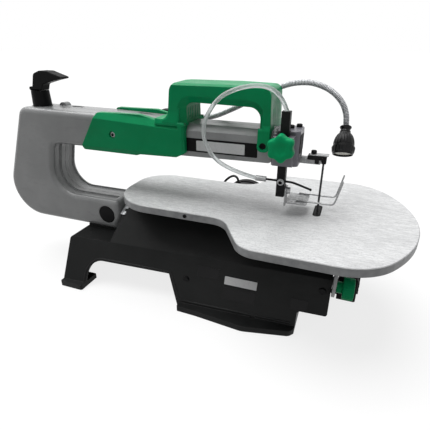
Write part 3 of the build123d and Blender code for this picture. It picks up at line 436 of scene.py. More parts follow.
print("materials")
finishes = {
    "base_black": paintFinish("blackCasting", (0.0080, 0.0085, 0.0085), (0.0130, 0.0135, 0.0135), grey(0.07),
                              rough=0.44, grain=850, bump=0.55, specular=0.13, edge=0.0011, rubAndSheenShare=0.45),
    # the frame's and the green cover's pale edges are mostly painted highlight
    "frame_silver": paintFinish("silverPaint", (0.255, 0.26, 0.262), (0.325, 0.33, 0.332), (0.74, 0.75, 0.755),
                                rough=0.30, grain=1100, bump=0.28, specular=0.36, edge=0.0022, coat=0.3, rubAndSheenShare=0.85),
    "cover_green": paintFinish("greenMoulding", (0.0, 0.27, 0.095), (0.001, 0.33, 0.12), (0.04, 0.52, 0.27),
                               rough=0.34, grain=1400, bump=0.18, specular=0.12, edge=0.0017),
    "knob_green": paintFinish("greenKnob", (0.001, 0.34, 0.12), (0.004, 0.40, 0.15), (0.05, 0.50, 0.26),
                              rough=0.42, grain=1400, bump=0.22, specular=0.10, rubAndSheenShare=0.45),
    "black_plastic": paintFinish("blackPlastic", grey(0.004), (0.006, 0.006, 0.0065), grey(0.04),
                                 rough=0.42, grain=1200, bump=0.35, specular=0.07, edge=0.0005, rubAndSheenShare=0.45),
    "nose_grey": paintFinish("nosePaint", (0.145, 0.142, 0.165), (0.18, 0.178, 0.20), (0.50, 0.50, 0.53),
                             rough=0.36, grain=900, bump=0.25, metallic=0.1, specular=0.35, edge=0.0010, coat=0.1,
                             rubAndSheenShare=0.7),
    "table_metal": tableFinish(),
    "steel": metalFinish("brightSteel", (0.24, 0.245, 0.25), (0.60, 0.605, 0.61), rough=0.28, bump=0.14,
                         metallic=0.3),
    "blade_steel": metalFinish("bladeSteel", (0.030, 0.030, 0.033), (0.065, 0.065, 0.070), rough=0.34,
                               stretch=(1, 1, 10), grain=300, bump=0.12, metallic=0.1, specular=0.2),
    "black_steel": metalFinish("blackenedSteel", (0.006, 0.006, 0.0065), (0.014, 0.014, 0.015), rough=0.40,
                               stretch=(1, 1, 6), grain=420, bump=0.25, metallic=0.0, specular=0.10),
    "arm_cast": metalFinish("machinedIron", (0.22, 0.225, 0.23), (0.36, 0.365, 0.37), rough=0.42,
                            stretch=(10, 1, 1), grain=90, bump=0.25, metallic=0.4),
    "motor_paint": paintFinish("motorPaint", (0.010, 0.010, 0.011), (0.016, 0.016, 0.017), grey(0.10),
                               grain=900, bump=0.35, specular=0.2),
    "chrome": metalFinish("chromePlate", (0.56, 0.57, 0.60), (0.84, 0.85, 0.88), rough=0.22, stretch=(1, 1, 1),
                          grain=420, bump=0.06, metallic=0.15),
    "rubber_black": paintFinish("blackRubber", grey(0.008), grey(0.013), grey(0.04), rough=0.62, specular=0.12),
    "clear_tube": clearFinish("clearTube", (0.90, 0.93, 0.93), rough=0.10, weight=0.62, index=1.3),
    "lens_pale": clearFinish("paleLens", (0.90, 0.88, 0.80), rough=0.30, weight=0.25),
    "clamp_silver": metalFinish("castSilver", (0.34, 0.35, 0.36), (0.50, 0.51, 0.52), rough=0.42,
                                stretch=(1, 1, 1), grain=240, bump=0.3, metallic=0.4),
}
whitePlate = paintFinish("whitePlate", (0.66, 0.67, 0.67), grey(0.74), grey(0.80), rough=0.32, grain=300,
                         bump=0.05, edge=0.0002)
satinPlate = paintFinish("satinPlate", (0.009, 0.009, 0.0095), (0.012, 0.012, 0.0125), grey(0.05), rough=0.34,
                         grain=400, bump=0.05, specular=0.14, edge=0.0002)
glossyPlastic = paintFinish("glossyPlastic", (0.006, 0.006, 0.0065), (0.010, 0.010, 0.0105), grey(0.08), rough=0.24,
                            grain=900, bump=0.15, specular=0.17, edge=0.0005)
# painted shade for the lamp neck's grooves
neckGrooveShade = metalFinish("neckGrooveShade", (0.16, 0.163, 0.175), (0.26, 0.265, 0.28), rough=0.4, stretch=(1, 1, 1),
                         grain=420, bump=0.1, metallic=0.0, specular=0.2)
# painted shade: near black for the insides of sockets, holes and slots
socketShade = paintFinish("socketShade", grey(0.003), grey(0.005), grey(0.02), rough=0.6, grain=900, bump=0.2,
                         specular=0.1)

for part in frame["record"]["subparts"]:
    node = nodes[part["node"]]
    node.data.materials.clear()
    node.data.materials.append(finishes[part["material_slot"]])


# tools for curves and meshes
def rideAs(piece, body, slot, finish=None, stands=None, second=None):
    piece.data.materials.append(finishes[slot] if finish is None else finish)
    if second:
        piece.data.materials.append(second)
    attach(piece, body)
    if stands:
        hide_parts(stands)
    return piece


def cordCurve(name, route, radius):
    data = bpy.data.curves.new(name, "CURVE")
    data.dimensions = "3D"
    line = data.splines.new("NURBS")
    line.points.add(len(route) - 1)
    for point, place in zip(line.points, route):
        point.co = (*(v / 1000 for v in place), 1)
        point.radius = radius
    line.order_u = 3
    line.use_endpoint_u = True
    line.resolution_u = 14
    data.bevel_depth = 1.0      # times each point's radius
    data.bevel_resolution = 5
    data.use_fill_caps = True
    curve = bpy.data.objects.new(name, data)
    scene.collection.objects.link(curve)
    return curve


def lineLength(curve):
    bare = bpy.data.objects.new("bareLine", curve.data.copy())
    bare.data.bevel_depth = 0
    line = bpy.data.meshes.new_from_object(bare)
    points = [v.co.copy() for v in line.vertices]
    bpy.data.meshes.remove(line)
    bpy.data.curves.remove(bare.data)
    return sum((b - a).length for a, b in zip(points, points[1:]))


cordSetup = {
    # route in millimetres, diameter in metres
    "airTube": {     # from the top of the post to the ferrule
        "route": [
            (155, -29, 270), (149, -32, 287), (128, -40, 299), (96, -45, 293), (74, -47, 279), (57, -47, 246),
            (68, -45, 214), (96, -40, 196), (123, -29, 187),
        ],
        "diameter": 0.005, "body": "post", "slot": "clear_tube", "stands": "air_tube",
    },
    "motorLead": {   # from the motor to the base
        "route": [
            (52, 130, 119.5), (51.6, 131, 122), (47, 136, 125.5), (39, 140, 126), (28, 138, 119), (20, 129, 106),
            (15, 105, 98), (11, 78, 94), (10, 62, 91), (13, 53.5, 90), (17.5, 52, 90),
        ],
        "diameter": 0.004, "body": "frame", "slot": "rubber_black", "stands": "motor_lead",
    },
}
print("camera and cords")
addCamera()
for name, setup in cordSetup.items():
    cord = rideAs(cordCurve(name, setup["route"], setup["diameter"] / 2), setup["body"], setup["slot"],
                  stands=setup["stands"])
    lineLength(cord)


def meshPiece(name, work, smoothAngle):
    bmesh.ops.recalc_face_normals(work, faces=work.faces)
    mesh = bpy.data.meshes.new(name)
    work.to_mesh(mesh)
    work.free()
    for face in mesh.polygons:
        face.use_smooth = True
    piece = bpy.data.objects.new(name, mesh)
    scene.collection.objects.link(piece)
    mesh.set_sharp_from_angle(angle=math.radians(smoothAngle))
    return piece


def addPiece(name, work, smoothAngle, body, slot, finish=None, stands=None, second=None):
    return rideAs(meshPiece(name, work, smoothAngle), body, slot, finish, stands, second)


# a closed prism between two outlines of the same number of points
def prism(work, nearPoints, farPoints):
    near = [work.verts.new(point) for point in nearPoints]
    far = [work.verts.new(point) for point in farPoints]
    work.faces.new(near)
    work.faces.new(list(reversed(far)))
    for i in range(len(near)):
        j = (i + 1) % len(near)
        work.faces.new((near[i], near[j], far[j], far[i]))


# faces between rings of points; those that start at a shaded row take the second finish, which paints shade into
# grooves and sockets
def joinRings(work, rings, shadeRows=()):
    for k, (low, high) in enumerate(zip(rings, rings[1:])):
        for i in range(len(low)):
            j = (i + 1) % len(low)
            work.faces.new((low[i], low[j], high[j], high[i])).material_index = 1 if k in shadeRows else 0


def closeRings(work, rings, shadeEnd=False):
    work.faces.new(list(reversed(rings[0])))
    work.faces.new(rings[-1]).material_index = 1 if shadeEnd else 0


# the middle of a node's box, moved to its low or high face along one axis
def boxFace(nodeName, axis, face):
    low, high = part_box(nodeName)
    place = (low + high) / 2
    place[axis] = (low, high)[face][axis]
    return place


def seatOn(nodeName, start, direction):
    # where a line from start first meets the node, and the face's outward direction
    tree = BVHTree.FromPolygons([v.co for v in nodes[nodeName].data.vertices],
                                [tuple(f.vertices) for f in nodes[nodeName].data.polygons])
    place, normal = tree.ray_cast(Vector(start), Vector(direction))[:2]
    if normal.dot(Vector(direction)) > 0:
        normal = -normal
    return place, normal


# turned pieces: rings given as (radius, height), each round unless an outline follows
def hexShape(angle):
    step = math.radians(60)
    return 1.0 / math.cos((angle + step / 2) % step - step / 2)


def ribShape(count, depth):
    def shape(angle):
        return 1.0 - depth * (0.5 - 0.5 * math.cos(count * angle)) ** 0.6
    return shape


def turned(work, place, axis, rings, sides, closed=True, shadeFrom=None):
    axis = Vector(axis).normalized()
    side = axis.orthogonal().normalized()
    if abs(axis.z) < 0.9:
        side = axis.cross(Vector((0, 0, 1))).normalized()
    other = axis.cross(side)
    rows = []
    for radius, height, *shape in rings:
        row = []
        for i in range(sides):
            angle = 2 * math.pi * i / sides
            outward = side * math.cos(angle) + other * math.sin(angle)
            reach = radius * shape[0](angle) if shape else radius
            row.append(work.verts.new(place + axis * height + outward * reach))
        rows.append(row)
    # rows from that ring on, and the end, take the second finish, painted shade
    joinRings(work, rows, () if shadeFrom is None else range(shadeFrom, len(rows)))
    if closed:
        closeRings(work, rows, shadeFrom is not None)


def islands(nodeName):
    # the box of each loose solid in a node
    work = bmesh.new()
    work.from_mesh(nodes[nodeName].data)
    bmesh.ops.remove_doubles(work, verts=work.verts, dist=0.000002)
    left = set(work.verts)
    found = []
    while left:
        stack = [left.pop()]
        group = list(stack)
        while stack:
            for edge in stack.pop().link_edges:
                for vert in edge.verts:
                    if vert in left:
                        left.discard(vert)
                        stack.append(vert)
                        group.append(vert)
        low = Vector(min(v.co[i] for v in group) for i in range(3))
        high = Vector(max(v.co[i] for v in group) for i in range(3))
        found.append((low, high))
    work.free()
    return sorted(found, key=lambda pair: tuple(pair[0]))


def capHead(work, place, axis, radius, height, socket):
    # socket head: knurled rim, chamfered top, hexagonal hole whose walls and floor take painted shade
    rib = ribShape(18, 0.035)
    turned(work, place, axis, [
        (radius * 0.97, -0.0006), (radius * 0.97, height * 0.1, rib), (radius, height * 0.2, rib),
        (radius, height * 0.8, rib), (radius * 0.9, height), (radius * socket * 1.15, height),
        (radius * socket, height - 0.0002, hexShape), (radius * socket * 0.98, height * 0.35, hexShape),
    ], sides=36, shadeFrom=6)


def domeHead(work, place, axis, radius, height, socket):
    # button head with a hexagonal hole whose walls and floor take painted shade
    turned(work, place, axis, [
        (radius, -0.0006), (radius, height * 0.15), (radius * 0.93, height * 0.5), (radius * 0.75, height * 0.85),
        (radius * 0.55, height), (radius * socket * 1.1, height), (radius * socket, height - 0.0002, hexShape),
        (radius * socket * 0.95, height * 0.2, hexShape),
    ], sides=36, shadeFrom=6)


screwSetup = {
    # node: maker, axis of each head, height, socket share, body, slot
    "cover_screws": (domeHead, "side", 0.0014, 0.46, "frame", "steel"),
    "grip_screws": (capHead, "side", 0.0016, 0.5, "frame", "black_steel"),
    "nose_screws": (capHead, "up", 0.0035, 0.5, "frame", "black_steel"),
    "motor_cap_screws": (domeHead, "back", 0.0025, 0.5, "frame", "steel"),
}
shankSetup = {
    "radius": 0.0019,
    "depth": 0.008,
    "long": 0.0046,
}


def headFor(low, high, axis):
    middle = (low + high) / 2
    size = high - low
    if axis == "up":
        return Vector((middle.x, middle.y, high.z)), Vector((0, 0, 1)), min(size.x, size.y) / 2
    if axis == "back":
        return Vector((middle.x, high.y, middle.z)), Vector((0, 1, 0)), min(size.x, size.z) / 2
    outer = low.y if middle.y < 0 else high.y
    return Vector((middle.x, outer, middle.z)), Vector((0, math.copysign(1, middle.y), 0)), min(size.x, size.z) / 2


def makeScrews():
    for nodeName, (maker, axis, height, socket, body, slot) in screwSetup.items():
        work = bmesh.new()
        for low, high in islands(nodeName):
            place, outward, radius = headFor(low, high, axis)
            maker(work, place - outward * height, outward, radius, height, socket)
            if axis == "up":
                radius = shankSetup["radius"]
                turned(work, place - outward * shankSetup["depth"], outward,
                       [(radius, 0), (radius, shankSetup["long"])], sides=20)
        name = "".join(word.capitalize() for word in nodeName.split("_"))
        addPiece(name[0].lower() + name[1:], work, 30, body, slot, stands=nodeName, second=socketShade)


def roundedRing(width, height, corner):
    points = []
    for centreX, centreY, start in (
        (width / 2 - corner, height / 2 - corner, 0), (corner - width / 2, height / 2 - corner, 90),
        (corner - width / 2, corner - height / 2, 180), (width / 2 - corner, corner - height / 2, 270),
    ):
        for degree in range(start, start + 91, 15):
            angle = math.radians(degree)
            points.append((centreX + corner * math.cos(angle), centreY + corner * math.sin(angle)))
    return points


def thinPlate(name, place, normal, along, width, height, thick, corner):
    normal = normal.normalized()
    along = (Vector(along) - normal * normal.dot(Vector(along))).normalized()
    up = normal.cross(along)
    work = bmesh.new()
    rings = []
    edge = min(thick * 0.35, corner * 0.5)
    for inset, lift in ((0, -thick * 0.2), (0, thick - edge), (edge, thick)):
        rings.append([work.verts.new(place + along * x + up * y + normal * lift)
                      for x, y in roundedRing(width - 2 * inset, height - 2 * inset, max(corner - inset, edge / 2))])
    joinRings(work, rings)
    closeRings(work, rings)
    return meshPiece(name, work, 35)


def bevelBlock(work, low, high, bevel):
    # a block with rounded edges, corners given in millimetres
    low, high = Vector(low) / 1000, Vector(high) / 1000
    made = bmesh.ops.create_cube(work, size=1.0)
    for vert in made["verts"]:
        vert.co = Vector((low[i] if vert.co[i] < 0 else high[i] for i in range(3)))
    edges = list(dict.fromkeys(edge for vert in made["verts"] for edge in vert.link_edges))
    bmesh.ops.bevel(work, geom=edges, offset=bevel / 1000, segments=2, profile=0.6, affect="EDGES",
                    clamp_overlap=True)


def smoothPath(points, spacing):
    # a soft line through millimetre points
    points = [Vector(p) / 1000 for p in points]
    points = [points[0] * 2 - points[1]] + points + [points[-1] * 2 - points[-2]]
    path = []
    for before, start, end, after in zip(points, points[1:], points[2:], points[3:]):
        steps = max(2, round((end - start).length / spacing))
        for step in range(steps):
            t = step / steps
            path.append(0.5 * (2 * start + (end - before) * t + (2 * before - 5 * start + 4 * end - after) * t * t
                               + (3 * start - before - 3 * end + after) * t * t * t))
    path.append(points[-2])
    return path


def sweptTube(work, path, radii, sides, shadeRows=()):
    rings = []
    side = None
    for i, place in enumerate(path):
        ahead = (path[min(i + 1, len(path) - 1)] - path[max(i - 1, 0)]).normalized()
        if side is None:
            side = ahead.orthogonal().normalized()
        side = (side - ahead * ahead.dot(side)).normalized()
        other = ahead.cross(side)
        rings.append([work.verts.new(place + (side * math.cos(a) + other * math.sin(a)) * radii[i])
                      for a in (2 * math.pi * k / sides for k in range(sides))])
    joinRings(work, rings, shadeRows)
    closeRings(work, rings)


lampSetup = {
    "route": [       # millimetres, the middle line of the neck
        (-12, 40, 243), (18, 40, 243.7), (40, 40, 246), (70, 40, 258.6), (104, 40, 275.8), (126, 40, 286),
        (146, 40, 293), (166, 40, 295), (182, 40, 292), (197, 40, 285), (209.5, 40, 273.5), (216.2, 40, 260),
        (218.6, 40, 245.4),
    ],
    "radius": 0.0038,
    "ribDepth": 0.0006,
    "ribPitch": 0.0018,
    "stepsPerRib": 6,
    "grooveFrom": 0.8,
    "top": (0.2184, 0.0403, 0.2445),
    "mouth": (0.2198, 0.0230, 0.2125),
    "mouthRadius": 0.0130,
    "flutes": 26,
    "fluteDepth": 0.035,
    "knurlDepth": 0.05,
    # radius and distance from the top: the collar, the fluted bell and its rim
    "collar": [(0.0040, 0.0022), (0.0064, 0.0), (0.0071, 0.0008), (0.0071, 0.0022), (0.0062, 0.0035),
               (0.0057, 0.0048), (0.0063, 0.0062), (0.0067, 0.0070), (0.0064, 0.0078)],
    "bell": [(0.0072, 0.0092), (0.0094, 0.0116), (0.0112, 0.0150), (0.0122, 0.0182), (0.0127, 0.0212),
             (0.0129, 0.0236)],
    "rim": [(0.0124, 0.0240), (0.0124, 0.0247), (0.0131, 0.0251), (0.0131, 0.0290)],
    # how far inside the mouth's radius and how far back from the mouth
    "lip": [(0.0, 0.0022), (0.0008, 0.0), (0.0018, 0.0), (0.0020, 0.0030), (0.0034, 0.0100)],
    "socket": (0.0040, 0.0120),
    # how far beyond the mouth's radius, how far back from the mouth, knurled or not
    "grip": [(-0.0004, 0.0098, False), (0.0010, 0.0094, False), (0.0012, 0.0086, True), (0.0006, 0.0034, True),
             (0.0003, 0.0026, False), (-0.0004, 0.0020, False)],
    "lensInset": 0.0019,
    "lensBack": (0.0046, 0.0024),
    "lensRings": 8,
    "lensRim": 0.0022,
    "lensRidge": 0.0006,
    "lensFaces": (0.0022, 0.0026),
    "lensRise": (0.0001, 0.00012),
}


def makeLamp():
    path = smoothPath(lampSetup["route"], lampSetup["ribPitch"] / lampSetup["stepsPerRib"])
    radii = []
    grooves = set()
    travel = 0
    for i, place in enumerate(path):
        travel += (place - path[i - 1]).length if i else 0
        wave = 0.5 - 0.5 * math.cos(2 * math.pi * travel / lampSetup["ribPitch"])
        radii.append(lampSetup["radius"] - lampSetup["ribDepth"] * wave ** 2)
        if wave > lampSetup["grooveFrom"]:
            grooves.add(i)
    work = bmesh.new()
    # faces deep in each groove take the second finish, painted shade in the grooves
    sweptTube(work, path, radii, 20, grooves)
    addPiece("lampNeck", work, 60, "frame", "chrome", platedFinish(), "lamp_neck", neckGrooveShade)

    top = Vector(lampSetup["top"])
    axis = Vector(lampSetup["mouth"]) - top
    long = axis.length
    wide = lampSetup["mouthRadius"]
    rib = ribShape(lampSetup["flutes"], lampSetup["knurlDepth"])
    flute = ribShape(lampSetup["flutes"], lampSetup["fluteDepth"])
    work = bmesh.new()
    turned(work, top, axis, lampSetup["collar"] + [(*ring, flute) for ring in lampSetup["bell"]] + lampSetup["rim"]
           + [(wide - inset, long - back) for inset, back in lampSetup["lip"]] + [lampSetup["socket"]], sides=156)
    addPiece("lampShade", work, 40, "frame", "black_plastic", glossyPlastic, "lamp_head")
    work = bmesh.new()
    turned(work, top, axis, [(wide + beyond, long - back) + ((rib,) if knurled else ())
                             for beyond, back, knurled in lampSetup["grip"]], sides=156, closed=False)
    addPiece("lampGrip", work, 40, "frame", "black_plastic", glossyPlastic, "lamp_band")
    work = bmesh.new()
    lens = [(wide - lampSetup["lensInset"], long - back) for back in lampSetup["lensBack"]]
    for i in range(lampSetup["lensRings"]):
        inner = (wide - lampSetup["lensRim"]) * (1 - (i + 1) / (lampSetup["lensRings"] + 0.5))
        lens += [(inner + ridge, long - back + rise * i) for ridge, back, rise in
                 zip((lampSetup["lensRidge"], 0), lampSetup["lensFaces"], lampSetup["lensRise"])]
    turned(work, top, axis, lens, sides=64)
    addPiece("lampLens", work, 30, "frame", "lens_pale", stands="lamp_lens")


starSetup = {
    "lobes": 6,
    "turn": -95.0,
    "outer": 0.0162,
    "hollow": 0.17,
    # share of the outer radius, height, how deep the hollows are cut
    "body": [(0.20, 0.0012, 0.0), (0.34, 0.0010, 0.0), (0.42, 0.0004, 0.5), (0.62, 0.0001, 1.0), (0.84, 0.0004, 1.0),
             (0.95, 0.0012, 1.0), (1.0, 0.0026, 1.0), (1.0, 0.0112, 1.0), (0.97, 0.0124, 1.0), (0.90, 0.0130, 1.0)],
    "hub": [(0.0056, 0.0130), (0.0052, 0.0160)],
    "stem": (0.0031, 0.0162),
}


# a knob's outline: lobes with hollows between them
def lobeShape(depth):
    def shape(angle):
        wave = 0.5 + 0.5 * math.cos(starSetup["lobes"] * (angle - math.radians(starSetup["turn"])))
        return 1.0 - depth * starSetup["hollow"] * (1 - wave)
    return shape


def makeStarKnob():
    low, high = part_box("star_knob")
    reach = starSetup["outer"]
    stem, shoulder = starSetup["stem"]
    work = bmesh.new()
    turned(work, boxFace("star_knob", 1, 0), (0, 1, 0),
           [(reach * share, height, lobeShape(depth)) for share, height, depth in starSetup["body"]]
           + starSetup["hub"] + [(stem, shoulder), (stem, high.y - low.y)], sides=96)
    addPiece("starKnob", work, 50, "star_knob", "knob_green", stands="star_knob")


lockSetup = {
    "hubRadius": 0.0074,
    "hubLong": 0.0078,
    "hub": [(0.6, 0.0), (0.93, 0.0), (1.0, 0.0006)],    # share of the radius, height
    "radius": 0.0144,
    "flute": 0.030,
    "flutes": 30,
    "chamfer": (0.0010, 0.0016),
    # share of the radius, how far back from the end
    "face": [(0.94, 0.0003), (0.80, 0.0), (0.66, 0.0004), (0.62, 0.0018)],
    "boss": [(0.0046, 0.0018), (0.0042, 0.0006)],
}


def makeLockKnob():
    low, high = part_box("lock_knob")
    long = high.x - low.x
    rib = ribShape(lockSetup["flutes"], lockSetup["flute"])
    hub, wide, start = lockSetup["hubRadius"], lockSetup["radius"], lockSetup["hubLong"]
    work = bmesh.new()
    low, high = lockSetup["chamfer"]
    turned(work, boxFace("lock_knob", 0, 0), (1, 0, 0), [(hub * share, height) for share, height in lockSetup["hub"]]
           + [(hub, start), (wide * 0.93, start), (wide, start + low, rib), (wide, long - high, rib)]
           + [(wide * share, long - back) for share, back in lockSetup["face"]]
           + [(radius, long - back) for radius, back in lockSetup["boss"]], sides=120)
    addPiece("lockKnob", work, 40, "lock_knob", "knob_green", stands="lock_knob")


dialSetup = {
    "radius": 0.0098,
    "front": 0.2675,
    "flutes": 24,
    "fluteDepth": 0.05,
    "ticks": 11,
    "sweep": 270,
    "tickGap": 0.0008,
    "tickLong": 0.0016,
    "tickHalf": 0.00025,
    "tickProud": 0.00012,
    "tickSunk": 0.0002,
    "pointerWidth": 0.0009,
    "pointerDeep": 0.0012,
    "pointerReach": (0.42, 0.5),      # middle and length, as shares of the radius
    "stem": [(0.0028, -0.0070), (0.0028, 0.0003)],
    "skirt": (0.98, 0.0003, 0.0008),
    # share of the radius, how far back from the front
    "crown": [(0.88, 0.0), (0.70, 0.0), (0.66, 0.0005), (0.2, 0.0005)],
}


def makeControls():
    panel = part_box("control_box")[1].x
    middle = boxFace("speed_dial", 0, 0)
    middle.x = panel
    wide = dialSetup["radius"]
    long = dialSetup["front"] - panel
    rib = ribShape(dialSetup["flutes"], dialSetup["fluteDepth"])
    work = bmesh.new()
    share, low, chamfer = dialSetup["skirt"]
    turned(work, middle, (1, 0, 0), dialSetup["stem"]
           + [(wide * share, low), (wide, chamfer, rib), (wide * 0.96, long - chamfer, rib)]
           + [(wide * share, long - back) for share, back in dialSetup["crown"]], sides=96)
    reach, tall = dialSetup["pointerReach"]
    pointer = middle + Vector((long - dialSetup["pointerDeep"] / 2, 0, wide * reach))
    size = Vector((dialSetup["pointerDeep"], dialSetup["pointerWidth"], wide * tall))
    for vert in bmesh.ops.create_cube(work, size=1.0)["verts"]:
        vert.co = pointer + vert.co * size
    addPiece("speedDial", work, 35, "speed_dial", "black_plastic", stands="speed_dial")
    work = bmesh.new()
    for i in range(dialSetup["ticks"]):
        angle = math.radians(dialSetup["sweep"] * (i / (dialSetup["ticks"] - 1) - 0.5))
        outward = Vector((0, math.sin(angle), math.cos(angle)))
        across = Vector((0, math.cos(angle), -math.sin(angle))) * dialSetup["tickHalf"]
        start = middle + outward * (wide + dialSetup["tickGap"])
        end = start + outward * dialSetup["tickLong"]
        corners = [start - across, end - across, end + across, start + across]
        prism(work, [c + Vector((dialSetup["tickProud"], 0, 0)) for c in corners],
              [c - Vector((dialSetup["tickSunk"], 0, 0)) for c in corners])
    addPiece("dialTicks", work, 35, "frame", "black_plastic", whitePlate)


holderSetup = {
    # millimetres; the clamp over the arm's tip, its jaw, ears and pin
    "block": ((180.4, -6.4, 210.2), (199.5, 6.4, 215.4)),
    "jaw": ((197.2, -3.6, 205.2), (203.0, 3.6, 214.6)),
    "earsX": (189.6, 194.6),
    "earsY": (5.6, 7.2),
    "earsZ": (206.0, 211.5),
    "pin": (192.0, 209.0),
    "plate": ((182.8, -5.6, 215.5), (205.0, 5.6, 216.6)),
    "bevels": (1.0, 1.1, 0.6, 0.35),    # block, jaw, ears, plate
    "pinHead": [(0.0019, -0.0010), (0.0019, 0.0003), (0.0015, 0.0007), (0.0008, 0.0007)],
    "screw": (187.0, 0.0, 216.8),
    "screwHead": (0.0034, 0.0040, 0.5),    # radius, height and socket share
}


def makeHolder():
    block, jaw, ears, plate = holderSetup["bevels"]
    work = bmesh.new()
    bevelBlock(work, *holderSetup["block"], block)
    bevelBlock(work, *holderSetup["jaw"], jaw)
    lowX, highX = holderSetup["earsX"]
    lowZ, highZ = holderSetup["earsZ"]
    inner, outer = holderSetup["earsY"]
    x, z = holderSetup["pin"]
    for side in (-1, 1):
        lowY, highY = sorted((side * inner, side * outer))
        bevelBlock(work, (lowX, lowY, lowZ), (highX, highY, highZ), ears)
        turned(work, Vector((x, side * (outer - 0.3), z)) / 1000, (0, side, 0), holderSetup["pinHead"], 24)
    addPiece("bladeClamp", work, 40, "blade_carrier", "black_steel", stands="upper_blade_holder")
    work = bmesh.new()
    bevelBlock(work, *holderSetup["plate"], plate)
    addPiece("clampPlate", work, 40, "blade_carrier", "steel", stands="holder_plate")
    work = bmesh.new()
    capHead(work, Vector(holderSetup["screw"]) / 1000, (0, 0, 1), *holderSetup["screwHead"])
    addPiece("clampScrew", work, 30, "thumb_screw", "black_steel", stands="thumb_screw", second=socketShade)


footSetup = {
    "wireRadius": 0.00105,
    "wireRear": (173, 190),      # millimetres
    "wireFront": 219.5,
    "wireBend": [(-6, 0), (-1.6, 0.9), (0.6, 4.2), (3.4, 16)],    # from the front and from the floor
    "wireTip": 226.2,
    "wireLift": 1.2,             # from the node's floor, its side and its top to the wire's middle
    "wireInset": 1.4,
    "wireTop": 0.8,
    "tipShare": 0.6,
    "drop": {-1: 0.4, 1: 0.0},   # the near wire is bent a little lower
    "pipeRadius": 0.00135,
    "pipeRoute": [
        (136, -29, 187), (150, -29, 187), (163, -29, 186.8), (169, -27, 185.6), (177, -20.5, 181),
        (189, -10.2, 173.2),
    ],
    "nozzle": [(0.0013, 0), (0.0016, 0.0002), (0.0016, 0.0012), (0.0009, 0.0013), (0.0008, 0.0002)],
    "nozzleBack": 0.0006,
    "spacing": 0.0012,
    "bolt": [(0.0042, 0), (0.0042, 0.0008), (0.0034, 0.0010), (0.0034, 0.0026), (0.0030, 0.0031), (0.0024, 0.0031),
             (0.0021, 0.0029, hexShape), (0.0020, 0.0010, hexShape)],
}


def makeFoot():
    low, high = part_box("foot_wires")
    floor = low.z * 1000 + footSetup["wireLift"]
    front = footSetup["wireFront"]
    rear, bend = footSetup["wireRear"]
    spacing = footSetup["spacing"]
    work = bmesh.new()
    for side, drop in footSetup["drop"].items():
        y = side * (high.y * 1000 - footSetup["wireInset"])
        bends = [(front + ahead, y, floor + up - (drop if ahead < 0 else 0)) for ahead, up in footSetup["wireBend"]]
        path = smoothPath([(rear, y, floor), (bend, y, floor - drop), *bends,
                           (footSetup["wireTip"], y, high.z * 1000 - footSetup["wireTop"])], spacing)
        radii = [footSetup["wireRadius"]] * len(path)
        radii[-1] *= footSetup["tipShare"]
        sweptTube(work, path, radii, 14)
    addPiece("footWires", work, 50, "foot", "steel", stands="foot_wires")
    path = smoothPath(footSetup["pipeRoute"], spacing)
    ahead = path[-1] - path[-2]
    work = bmesh.new()
    sweptTube(work, path, [footSetup["pipeRadius"]] * len(path), 16)
    turned(work, path[-1] - ahead.normalized() * footSetup["nozzleBack"], ahead, footSetup["nozzle"], 20)
    addPiece("blowerPipe", work, 50, "post", "black_steel", stands="blower_pipe")
    work = bmesh.new()
    turned(work, boxFace("pipe_clamp_bolt", 1, 1) + Vector((0, 0.0002, 0)), (0, -1, 0), footSetup["bolt"], 36,
           shadeFrom=6)
    addPiece("pipeBolt", work, 30, "post", "steel", stands="pipe_clamp_bolt", second=socketShade)


# bare plates laid on a node: name, node, start and direction of the line that finds its seat, length and height,
# thickness, corner, lift from the seat, slot and finish
armPlates = [
    ("armPanel", "frame_half_left", (0.074, -0.2, 0.21975), (0, 1, 0), (0.096, 0.0175), 0.0006, 0.0012, 0.0,
     "black_plastic", None),
    ("armPlate", "frame_half_left", (0.0735, -0.2, 0.2195), (0, 1, 0), (0.065, 0.013), 0.0006, 0.001, 0.00054,
     "black_plastic", whitePlate),
]
basePlates = [(name, "base_casting", (x, -0.3, z), (0, 1, 0), size, 0.0004, 0.0008, 0.0, "base_black", finish)
              for name, x, z, size, finish in (
                  ("basePlate", 0.1165, 0.0455, (0.045, 0.0110), whitePlate),
                  ("baseLowerPlate", 0.1165, 0.0300, (0.045, 0.0160), satinPlate),
                  ("baseRearPlate", 0.0700, 0.0510, (0.031, 0.0150), satinPlate),
                  ("baseFrontPlate", 0.1960, 0.0330, (0.022, 0.0150), satinPlate),
              )]
nosePlates = [    # a sheet of painted shade over the slot, and the machined strip on the front of the nose
    ("noseSlot", "nose_housing", (0.272, -0.015, 0.2305), (-1, 0, 0), (0.013, 0.023), 0.0004, 0.0008, 0.0,
     "nose_grey", socketShade),
    ("noseStrip", "nose_housing", (0.272, 0.0098, 0.2305), (-1, 0, 0), (0.003, 0.023), 0.0005, 0.0008, 0.0,
     "nose_grey", finishes["clamp_silver"]),
]


def makePlates(plates):
    for name, nodeName, start, inward, size, thick, corner, lift, slot, finish in plates:
        place, normal = seatOn(nodeName, start, inward)
        along = (abs(inward[1]), abs(inward[0]), 0)
        rideAs(thinPlate(name, place + normal * lift, normal, along, *size, thick, corner), "frame", slot, finish)


rimSetup = {
    # middle line of the raised border on the base's side walls, in millimetres: x and z
    "legX": -123.4,
    "archMiddle": (-97.0, 17.0),
    "archRadius": 26.4,
    "beamZ": 43.4,
    "legEnds": (9.5, 14.0),
    "beamX": (-60.0, -20.0),
    "body": [(14.0, 43.4), (24.0, 27.3), (34.6, 10.6), (60.0, 10.6), (120.0, 10.6), (189.0, 10.6)],
    "radius": 0.0021,
    "sunk": 0.0011,
}


